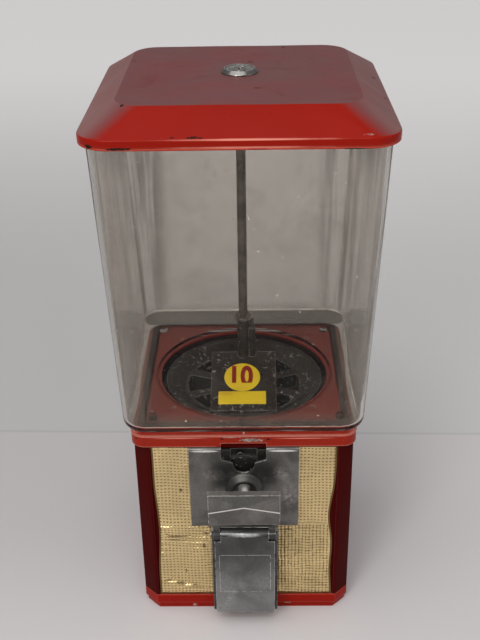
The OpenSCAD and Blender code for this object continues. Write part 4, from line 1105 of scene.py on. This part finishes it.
class MACHINE_OT_globe(bpy.types.Operator):
    """Clear moulded globe with its round opening, corner studs and moulding mark"""

    bl_idname = "machine.globe"
    bl_label = "Globe"

    def execute(self, context):
        material = finish_of("clear acrylic", clear_acrylic, context.scene.machine_colours.acrylic)
        low, high = GLOBE_LOW.z, GLOBE_HIGH.z
        base, top, wall = 82.8, GLOBE_HIGH.x, 2.5
        slope = (top - base) / (high - low)
        mouth, fillet = 64.6, 15.0
        profile = [
            (67.9, low, 0),
            (base, low, fillet),
            (base + slope * 60, low + 60, 0),
            (base + slope * 130, low + 130, 0),
            (top, high, 1.0),
            (top - wall, high, 1.0),
            (top - wall - slope * 76, high - 76, 0),
            (base + slope * 60 - wall, low + 60, 0),
            (base - wall, low + wall, fillet - wall),
            (67.8, low + wall, 0),
        ]
        outline = rounded_profile(profile, 1.0, steps=8)

        def corner(h, z):
            return max(4.0, 16.5 - max(0.0, base - h) * 0.8)

        rings = sheet_rings(outline, corner)
        rings.insert(0, round_ring(mouth, low + 0.02))
        rings.append(round_ring(mouth, low + wall))
        globe = piece_from("globe_moulding", *loft(rings), material, 30)
        settle(globe, "cabinet", "clear_plastic", "globe")

        film_in, skin, film_mouth, film_top = wall + 0.12, 0.1, 68.6, high - 8
        film_out, bend = film_in + skin, fillet - film_in
        film_profile = [
            (film_mouth, low + film_in, 0),
            (base - film_in, low + film_in, bend),
            (top - film_in, film_top, 0),
            (top - film_out, film_top, 0),
            (base - film_out, low + film_out, bend),
            (film_mouth, low + film_out, 0),
        ]
        # grime inside the globe, with painted refraction, shade and highlights
        grime = finish_of("globe grime", grime_and_painted_light, context.scene.machine_colours.haze, low * MM)
        film_rings = sheet_rings(rounded_profile(film_profile, 1.0, steps=8), corner)
        settle(piece_from("globe_grime", *loft(film_rings), grime, 30), "cabinet", "clear_plastic")

        gate_x, gate_y, gate_z, bands = -0.7, -82.3, low + 10.5, 8
        gate = []
        for k in range(bands + 1):
            z = gate_z - 4.0 * math.cos(math.pi * k / bands)
            wide = max(0.05, math.sin(math.pi * k / bands))
            gate.append([(gate_x + 1.7 * wide * c, gate_y + 0.9 * wide * s, z) for c, s in circle(1.0, 16)])
        settle(piece_from("globe_gate_mark", *capped(gate), material, 40), "cabinet", "clear_plastic")

        stud_r, stud_h, stud_z = 3.2, 3.4, low + wall - 0.1
        stud_profile = [(1.0, 0.0), (1.0, 0.6), (0.8, 0.92), (0.35, 1.0)]
        studs = []
        for x, y in [(-62.8, -64.5), (66.5, -65), (-65, 60), (63.5, 58.5)]:
            rings = [
                [(x + c, y + s, stud_z + stud_h * up) for c, s in circle(stud_r * share, 20)]
                for share, up in stud_profile
            ]
            studs.append(capped(rings))
        settle(piece_from("globe_studs", *joined(studs), material, 35), "cabinet", "clear_plastic")
        return {"FINISHED"}


class MACHINE_OT_hopper(bpy.types.Operator):
    """Pressed pan with its creased skirt, coin notch and turned-down rim"""

    bl_idname = "machine.hopper"
    bl_label = "Hopper pan"

    def execute(self, context):
        dress("hopper_pan", "hopper_pressing", pan_paint(), "red_paint", width=0.6 * MM, segments=3)
        return {"FINISHED"}


class MACHINE_OT_cabinet(bpy.types.Operator):
    """Folded cabinet, base casting and the panel behind the foil"""

    bl_idname = "machine.cabinet"
    bl_label = "Cabinet"

    def execute(self, context):
        dress("body_shell", "cabinet_shell", maroon_paint(), "dark_red_paint", width=0.6 * MM, segments=3)
        dress("base_plate", "base_casting", base_paint(), "red_paint", width=0.6 * MM, segments=3)
        recoat(NODES["front_panel"], maroon_paint())
        return {"FINISHED"}


class MACHINE_OT_foil(bpy.types.Operator):
    """Embossed gold foil, creased and with wandering edges"""

    bl_idname = "machine.foil"
    bl_label = "Embossed foil"

    def execute(self, context):
        sizes = context.scene.machine_sizes
        pitch, crumple = sizes.foil_pitch / MM, sizes.foil_crumple / MM
        low, high = FOIL_LOW, FOIL_HIGH
        left, right, bottom, top = low.x, high.x, low.z, high.z
        back = high.y - 0.05
        steps = 5
        nx, nz = round((right - left) / pitch * steps), round((top - bottom) / pitch * steps)

        def edges(z):
            """Foil's left and right edge at a height."""
            t = (z - bottom) / (top - bottom)
            wave = math.sin(t * 9.0) * 0.5 + math.sin(t * 21.0 + 1.0) * 0.3
            inner_left = 2.4 * bell(z, 78, 26) + 0.7 * (0.5 + 0.5 * wave)
            inner_right = 3.4 * bell(z, 90, 20) + 1.8 * bell(z, 40, 22)
            return left + inner_left, right - inner_right - 0.5 * (0.5 - 0.5 * wave)

        def crease(x, z):
            """How far the foil stands out from its panel."""
            out = 0.3 * (ripple(x, z, 0, 0.05) + 0.5)
            side = x + 44 if x < 0 else 60 - x
            fold = bell(z - 79 - 0.05 * side, 0, 1.6) - 0.7 * bell(z, 75.5, 2.2)
            if x < 0:
                out += 1.3 * fold * (0.6 + 0.4 * math.sin(x * 0.3))
                run = z - (27.5 - 0.19 * (x + 65))
                out += 1.4 * bell(run, 0, 1.1) * tent(x, -42, 26)
                out += 0.5 * bell(x + 31 + (z - 88) * 0.5, 0, 2.0) * tent(z, 80, 12)
                out += 0.35 * math.sin(z * 1.15 + 0.05 * x) * tent(z, 60, 22)
            else:
                out += 0.4 * fold
                out += 0.5 * bell(x, 60, 3.0) * tent(z, 92, 20)
            out += 0.25 * ripple(x, z, 9, 0.35)
            return max(0.0, out) * crumple / 0.9

        def drift(x, z):
            """Place on the flat sheet of a point of the crumpled foil."""
            pull = 1.1 * ripple(x, z, 4, 0.045) + 0.5 * ripple(x, z, 7, 0.12)
            sag = 1.6 * bell(z, 78, 9) * (0.5 + 0.5 * math.sin(x * 0.09))
            return x + 0.5 * pull + 0.010 * (z - 80), 0.0, z + pull + sag + 0.02 * x

        def place(u, v):
            z = bottom + 0.2 + (top - bottom - 0.4) * v
            a, b = edges(z)
            x = a + (b - a) * u
            near = min(1.0, max(abs(x) - 36.5, 84.0 - z, 0.0) / 2.0) if z > 80 else 1.0
            near *= min(1.0, max(abs(x) - 22.0, 0.0) / 2.5) if z < 84 else 1.0
            edge = min(1.0, min(u, 1 - u) * (b - a) / 1.2, (top - z) / 1.0)
            lift = 0.12 + crease(x, z) * near * max(0.15, edge)
            return x, high.y - 0.38 - lift, z

        def keep(x0, y0, z0, x1, y1, z1):
            x, z = (x0 + x1) / 2, (z0 + z1) / 2
            behind_plate = abs(x) < 37.2 and z > 84.2
            behind_chute = abs(x) < 22.4 and 16.2 < z < 84.5
            return not (behind_plate or behind_chute)

        points, faces = solid_grid(nx, nz, place, back, keep)
        mesh = bpy.data.meshes.new("foil_sheet")
        mesh.from_pydata((np.array(points) * MM).tolist(), [], faces)
        where = np.array(points)
        front = where[:, 1] < back - 0.01
        spans = np.array([edges(z) for z in where[:, 2]])
        border = np.clip((where[:, 0] - spans[:, 0] - 0.9) / 0.5, 0, 1)
        border *= np.clip((spans[:, 1] - where[:, 0] - 0.9) / 0.5, 0, 1)
        border *= np.clip((where[:, 2] - bottom - 1.6) / 0.6, 0, 1)
        stamped = mesh.attributes.new("stamped", "FLOAT", "POINT")
        stamped.data.foreach_set("value", (front * border).astype(np.float32))
        drawn = mesh.attributes.new("sheet", "FLOAT_VECTOR", "POINT")
        flat = np.array([drift(x, z) for x, _, z in points]).ravel().astype(np.float32) * MM
        drawn.data.foreach_set("vector", flat)
        material = finish_of("gold foil", foil_metal, context.scene.machine_colours.gold, FOIL_STAINS_AND_FOLD_SHADE)
        sheet = show("foil_blank", mesh, material, 60)
        values = {"Pitch": sizes.foil_pitch, "Relief": sizes.foil_relief, "Material": material}
        made = grown(sheet, embossing_tree(), values)
        bpy.data.objects.remove(sheet)
        foil = show("embossed_foil", made, material, 60)
        settle(foil, "cabinet", "gold_foil", "front_foil")
        return {"FINISHED"}


class MACHINE_OT_coin_front(bpy.types.Operator):
    """Faceplate, shaft bush, coin guide, coin wheel and turning handle"""

    bl_idname = "machine.coin_front"
    bl_label = "Coin mechanism front"

    def execute(self, context):
        dress("mech_faceplate", "coin_faceplate", plate_chrome(), "dull_chrome", width=0.5 * MM, segments=3)
        low, high = node_box("shaft_bush")
        face, middle = PLATE_LOW.y, (low.z + high.z) / 2
        dome = [
            (high.x, face + 0.3),
            (high.x - 0.3, face - 0.5),
            (high.x - 1.6, face - 1.5),
            (high.x - 3.4, face - 2.7),
            (9.4, low.y + 0.35),
            (8.7, low.y + 0.08),
            (7.9, low.y),
            (5.2, low.y),
            (3.9, low.y + 0.25),
            (3.6, low.y + 0.9),
            (3.6, face + 0.3),
        ]
        rings = [[(x, y, middle + z) for x, z in circle(r, 72)] for r, y in dome]
        bush = piece_from("handle_bush", *loft(rings), shaded_chrome(), 60)
        settle(bush, BODY_OF["shaft_bush"], "dull_chrome", "shaft_bush")
        dress("coin_guide", "coin_slot_guide", dark_zinc(), "zinc", width=0.2 * MM)
        dress("coin_wheel", "coin_carrier", dark_zinc(), "zinc", width=0.2 * MM)
        polished = handle_chrome()
        dress("handle", "turn_handle", polished, "dull_chrome", width=0.35 * MM, segments=3, sharp=5)
        front = node_box("coin_guide")[0].y
        eyelet_x, eyelet_z = -2.4, 143.8
        lip = [(2.6, 0.3), (2.6, -0.25), (2.3, -0.5), (1.9, -0.5), (1.6, -0.2), (1.6, 0.3)]
        rings = [[(eyelet_x + x, front + y, eyelet_z + z) for x, z in circle(r, 28)] for r, y in lip]
        settle(piece_from("coin_guide_eyelet", *loft(rings), dark_zinc(), 35), "cabinet", "zinc")
        return {"FINISHED"}


class MACHINE_OT_chute(bpy.types.Operator):
    """Chute housing, hinge pin and the flap door with its plain sunk panel"""

    bl_idname = "machine.chute"
    bl_label = "Chute and door"

    def execute(self, context):
        # painted shade: the housing under the handle takes the darkened chrome
        dress("chute_housing", "chute_frame", shaded_chrome(), "dull_chrome", width=0.3 * MM)
        dress("hinge_pin", "door_pin", steel(), "plated_steel", width=0.3 * MM)
        dress("chute_door", "door_flap", door_metal(), "dull_chrome", width=0.5 * MM, segments=3)
        y = DOOR_LOW.y
        half, low, high = 18.4, 33.5, 68.4
        columns, rows = 74, 70

        def place(u, v):
            x, z = -half + 2 * half * u, low + (high - low) * v
            inset = min(x + half, half - x, z - low, high - z)
            frame_line = bell(inset, 0.9, 0.45)
            sunk = min(1.0, max(0.0, (inset - 1.6) / 0.4))
            stipple = 0.05 * noise.noise(Vector((x, z, 3)) * 1.9)
            rise = 0.06 + 0.12 * frame_line * min(1.0, inset / 0.4) + sunk * stipple
            return x, y - rise, z

        panel = piece_from("door_panel", *solid_grid(columns, rows, place, y + 0.2), door_metal(), 50)
        settle(panel, "door", "dull_chrome")
        return {"FINISHED"}


class MACHINE_OT_wheel(bpy.types.Operator):
    """Dispensing wheel with its pockets"""

    bl_idname = "machine.wheel"
    bl_label = "Dispensing wheel"

    def execute(self, context):
        dress("dispensing_wheel", "ball_wheel", zinc(), "zinc", width=0.7 * MM, segments=3)
        dress("wheel_bowl", "bowl_pressing", zinc(), "zinc", width=0.4 * MM)
        return {"FINISHED"}


class MACHINE_OT_brush(bpy.types.Operator):
    """Brush housing on its rod, with bristles under its sides"""

    bl_idname = "machine.brush"
    bl_label = "Brush housing"

    def execute(self, context):
        sizes = context.scene.machine_sizes
        dress("brush_housing", "brush_cover", zinc(), "zinc", width=0.4 * MM, segments=3)
        material = finish_of("bristle fibre", bristle_fibre)
        top, front, back, bar = BRUSH_HIGH.z, BRUSH_LOW.y, BRUSH_HIGH.y, 2.5
        root = top - 1.5
        bars, rows = [], []
        for left in (BRUSH_LOW.x, BRUSH_HIGH.x - bar):
            outline = [(left, front), (left + bar, front), (left + bar, back), (left, back)]
            points, faces = loft([[(x, y, z) for x, y in outline] for z in (root, top)], closed=False)
            bars.append((points, [(0, 3, 2, 1), (4, 5, 6, 7), *faces]))
            for row in (0.6, 1.25, 1.9):
                for i in range(sizes.bristle_count):
                    y = front + 0.5 + (back - front - 1.0) * i / (sizes.bristle_count - 1)
                    rows.append(((left + row) * MM, y * MM, (root + 0.3) * MM))
        strips = piece_from("brush_bars", *joined(bars), material, 30)
        settle(strips, "cabinet", "dark_bristle", "brush_strips")
        mesh = bpy.data.meshes.new("bristle_rows")
        mesh.from_pydata(rows, [], [])
        seedbed = show("bristle_rows", mesh, material)
        reach = (root + 0.3 - BRUSH_LOW.z) * MM
        values = {"Length": reach, "Thickness": sizes.bristle / 2, "Material": material, "Lean": 0.05}
        made = grown(seedbed, bristle_tree(), values)
        bpy.data.objects.remove(seedbed)
        settle(show("bristles", made, material, 40), "cabinet", "dark_bristle")
        return {"FINISHED"}


class MACHINE_OT_labels(bpy.types.Operator):
    """Round price label with a plain number, and a plain rectangular label"""

    bl_idname = "machine.labels"
    bl_label = "Labels"

    def execute(self, context):
        chosen = context.scene.machine_colours
        yellow = finish_of("yellow sticker", sticker, chosen.label, 0.0)
        dress("price_label", "round_sticker", yellow, "yellow_label", width=0.08 * MM)
        plain = finish_of("plain yellow sticker", sticker, chosen.label, 0.35)
        dress("plain_label", "plain_sticker", plain, "yellow_label", width=0.08 * MM)
        centre = (LABEL_LOW + LABEL_HIGH) / 2
        tilt = math.atan2(LABEL_HIGH.z - LABEL_LOW.z, LABEL_HIGH.y - LABEL_LOW.y)
        curve = bpy.data.curves.new("price", "FONT")
        curve.body = context.scene.machine_sizes.price
        curve.align_x = curve.align_y = "CENTER"
        curve.size = 23.5 * MM
        curve.space_character = 1.06
        curve.offset = 0.95 * MM
        curve.extrude = 0.03 * MM
        text = bpy.data.objects.new("price_text", curve)
        context.scene.collection.objects.link(text)
        context.view_layer.update()
        mesh = bpy.data.meshes.new_from_object(text.evaluated_get(context.evaluated_depsgraph_get()))
        bpy.data.objects.remove(text)
        up = Vector((0, -math.sin(tilt), math.cos(tilt)))
        narrowed, heightened, shift, lift = 0.74, 1.05, Vector((-1.3, 0, 0)), 0.17
        place = Matrix.Translation((centre + shift) * MM + up * lift * MM)
        place = place @ Matrix.Rotation(tilt, 4, "X") @ Matrix.Diagonal((narrowed, heightened, 1, 1))
        mesh.transform(place)
        number = show("price_number", mesh, finish_of("price ink", ink, chosen.ink), 30)
        settle(number, "cabinet", "yellow_label")
        return {"FINISHED"}


class MACHINE_OT_metal(bpy.types.Operator):
    """Finishes of the rod, gears, shafts, screws and the rest of the mechanism"""

    bl_idname = "machine.metal"
    bl_label = "Mechanism metal"

    def execute(self, context):
        slots = {s["node"]: s["material_slot"] for s in frame["record"]["subparts"]}
        makers = {"plated_steel": steel, "zinc": zinc, "dull_chrome": chrome}
        for name, node in NODES.items():
            if node.hide_render or slots[name] not in makers or name == "front_panel":
                continue
            recoat(node, makers[slots[name]]())
        return {"FINISHED"}


# Name, power, size, place and colour of each lamp panel.
PANELS = [
    ("key", 6.5, (0.5, 0.5), (-0.62, -1.3, 1.15), (1.0, 0.975, 0.94)),
    ("fill", 2.0, (1.2, 1.2), (1.5, -0.9, 0.9), (0.96, 0.98, 1.0)),
    ("strip", 2.6, (0.8, 0.12), (-0.05, -0.9, 1.3), (1.0, 1.0, 1.0)),
]
LENS_MM = 54.99
CAMERA_AT = (0.00776, -0.62812, 0.54786)
CAMERA_TURNS = (-0.92, 28.42, -0.93)  # yaw, pitch down and roll, in degrees


def hang(lamp, at, aim):
    """Puts a lamp in the scene, looking along a direction."""
    holder = bpy.data.objects.new(lamp.name, lamp)
    holder.location = at
    holder.rotation_euler = aim.to_track_quat("-Z", "Y").to_euler()
    bpy.context.scene.collection.objects.link(holder)


class MACHINE_OT_stage(bpy.types.Operator):
    """Floor, lights, world and camera"""

    bl_idname = "machine.stage"
    bl_label = "Stage"

    def execute(self, context):
        scene, chosen = context.scene, context.scene.machine_colours
        mesh = bpy.data.meshes.new("floor")
        reach, seam_y, seam_slant = 6, 0.1545, -0.022
        corners = [(-reach, -reach, 0), (reach, -reach, 0), (reach, reach, 0), (-reach, reach, 0)]
        mesh.from_pydata(corners, [], [(0, 1, 2, 3)])
        fixed = {"Roughness": 0.6, "Specular IOR Level": 0.25, "Emission Strength": 1.0}
        material, t, shader = new_material("floor and backdrop", fixed)
        where = t.split(t.place())
        line = t.less(where[1], t.times(where[0], seam_slant))
        far = t.step(line, seam_y - 0.001, seam_y + 0.001)
        seam = t.less(1.0, t.step(t.size(t.less(line, seam_y)), 0.0, 0.003))
        tone = t.mix(far, rgb(chosen.floor), rgb(chosen.wall))
        tone = t.lay(tone, rgb(chosen.floor, 0.6), seam, 0.35)
        tone = t.lay(tone, rgb(chosen.wall, 0.8), t.noise(2.0), 0.12)
        # painted shadow: the floor and backdrop are darker to the left, behind the machine
        left = t.times(t.step(where[0], 0.05, -0.25), t.step(line, 1.8, 0.5))
        left_shade = t.times(left, t.step(line, -0.2, 0.05), 0.17)
        tone = t.mix(left_shade, tone, rgb(BLACK))
        path = t.add("ShaderNodeLightPath").outputs
        direct = t.plus(path["Is Camera Ray"], path["Is Glossy Ray"])
        direct = t.math("ADD", direct, path["Is Transmission Ray"], clamp=True)
        seen_far = t.times(direct, t.step(line, 0.3, 1.6))
        lit = t.mix(seen_far, rgb(BLACK), rgb((0.20, 0.19, 0.19)))
        join(t, shader, Base_Color=tone, Emission_Color=lit)
        floor = show("floor", mesh, material)
        for name, power, size, at, tint in PANELS:
            lamp = bpy.data.lights.new(name, "AREA")
            lamp.shape = "RECTANGLE"
            lamp.energy, lamp.color = power, tint
            lamp.size, lamp.size_y = size
            hang(lamp, at, Vector((0, 0, 0.2)) - Vector(at))
        even = bpy.data.lights.new("even", "SUN")
        even.energy, even.angle = 1.35, math.radians(70)
        hang(even, (0, 0, 0), Vector((0.2, 0.45, -1.0)))
        world = bpy.data.worlds.new("studio")
        world.use_nodes = True
        world.node_tree.nodes.clear()
        t = Tree(world.node_tree)
        way = t.split(t.add("ShaderNodeTexCoord").outputs["Generated"])
        sky = t.mix(t.step(way[2], -0.1, 0.9), rgb((0.34, 0.33, 0.33)), rgb((0.46, 0.46, 0.465)))
        sky = t.mix(t.step(way[1], -0.2, -0.9), sky, rgb((0.22, 0.215, 0.21)))
        glow = t.add("ShaderNodeBackground", {"Color": sky, "Strength": 0.62})
        t.add("ShaderNodeOutputWorld", {"Surface": glow.outputs[0]})
        scene.world = world
        scene.view_settings.view_transform = "Standard"
        lens = bpy.data.cameras.new("camera")
        lens.lens, lens.sensor_width, lens.sensor_fit = LENS_MM, 36.0, "AUTO"
        camera = bpy.data.objects.new("camera", lens)
        yaw, pitch, roll = (math.radians(angle) for angle in CAMERA_TURNS)
        flat = math.cos(pitch)
        ahead = Vector((math.sin(yaw) * flat, math.cos(yaw) * flat, -math.sin(pitch)))
        side = ahead.cross(Vector((0, 0, 1))).normalized()
        level = Matrix((side, side.cross(ahead), -ahead)).transposed()
        turned = (level @ Matrix.Rotation(roll, 3, "Z")).to_4x4()
        camera.matrix_world = Matrix.Translation(CAMERA_AT) @ turned
        scene.collection.objects.link(camera)
        scene.camera = camera
        return {"FINISHED"}


STEPS = [
    MACHINE_OT_stage,
    MACHINE_OT_lid,
    MACHINE_OT_lock,
    MACHINE_OT_globe,
    MACHINE_OT_hopper,
    MACHINE_OT_cabinet,
    MACHINE_OT_foil,
    MACHINE_OT_coin_front,
    MACHINE_OT_chute,
    MACHINE_OT_wheel,
    MACHINE_OT_brush,
    MACHINE_OT_labels,
    MACHINE_OT_metal,
]


class MACHINE_PT_panel(bpy.types.Panel):
    """Sizes, colours and building steps of the gumball machine"""

    bl_idname = "MACHINE_PT_panel"
    bl_label = "Gumball Machine"
    bl_space_type = "VIEW_3D"
    bl_region_type = "UI"
    bl_category = "Gumball Machine"

    def draw(self, context):
        for group in (context.scene.machine_sizes, context.scene.machine_colours):
            box = self.layout.box()
            for name in group.bl_rna.properties.keys():
                if name not in ("rna_type", "name"):
                    box.prop(group, name)
        for step in STEPS:
            self.layout.operator(step.bl_idname)


CLASSES = [MachineSizes, MachineColours, *STEPS, MACHINE_PT_panel]


def register():
    for made in CLASSES:
        bpy.utils.register_class(made)
    bpy.types.Scene.machine_sizes = PointerProperty(type=MachineSizes)
    bpy.types.Scene.machine_colours = PointerProperty(type=MachineColours)


def unregister():
    del bpy.types.Scene.machine_colours
    del bpy.types.Scene.machine_sizes
    for made in reversed(CLASSES):
        bpy.utils.unregister_class(made)


def main():
    register()
    for step in STEPS:
        group, name = step.bl_idname.split(".")
        getattr(getattr(bpy.ops, group), name)()


if __name__ == "__main__":
    main()
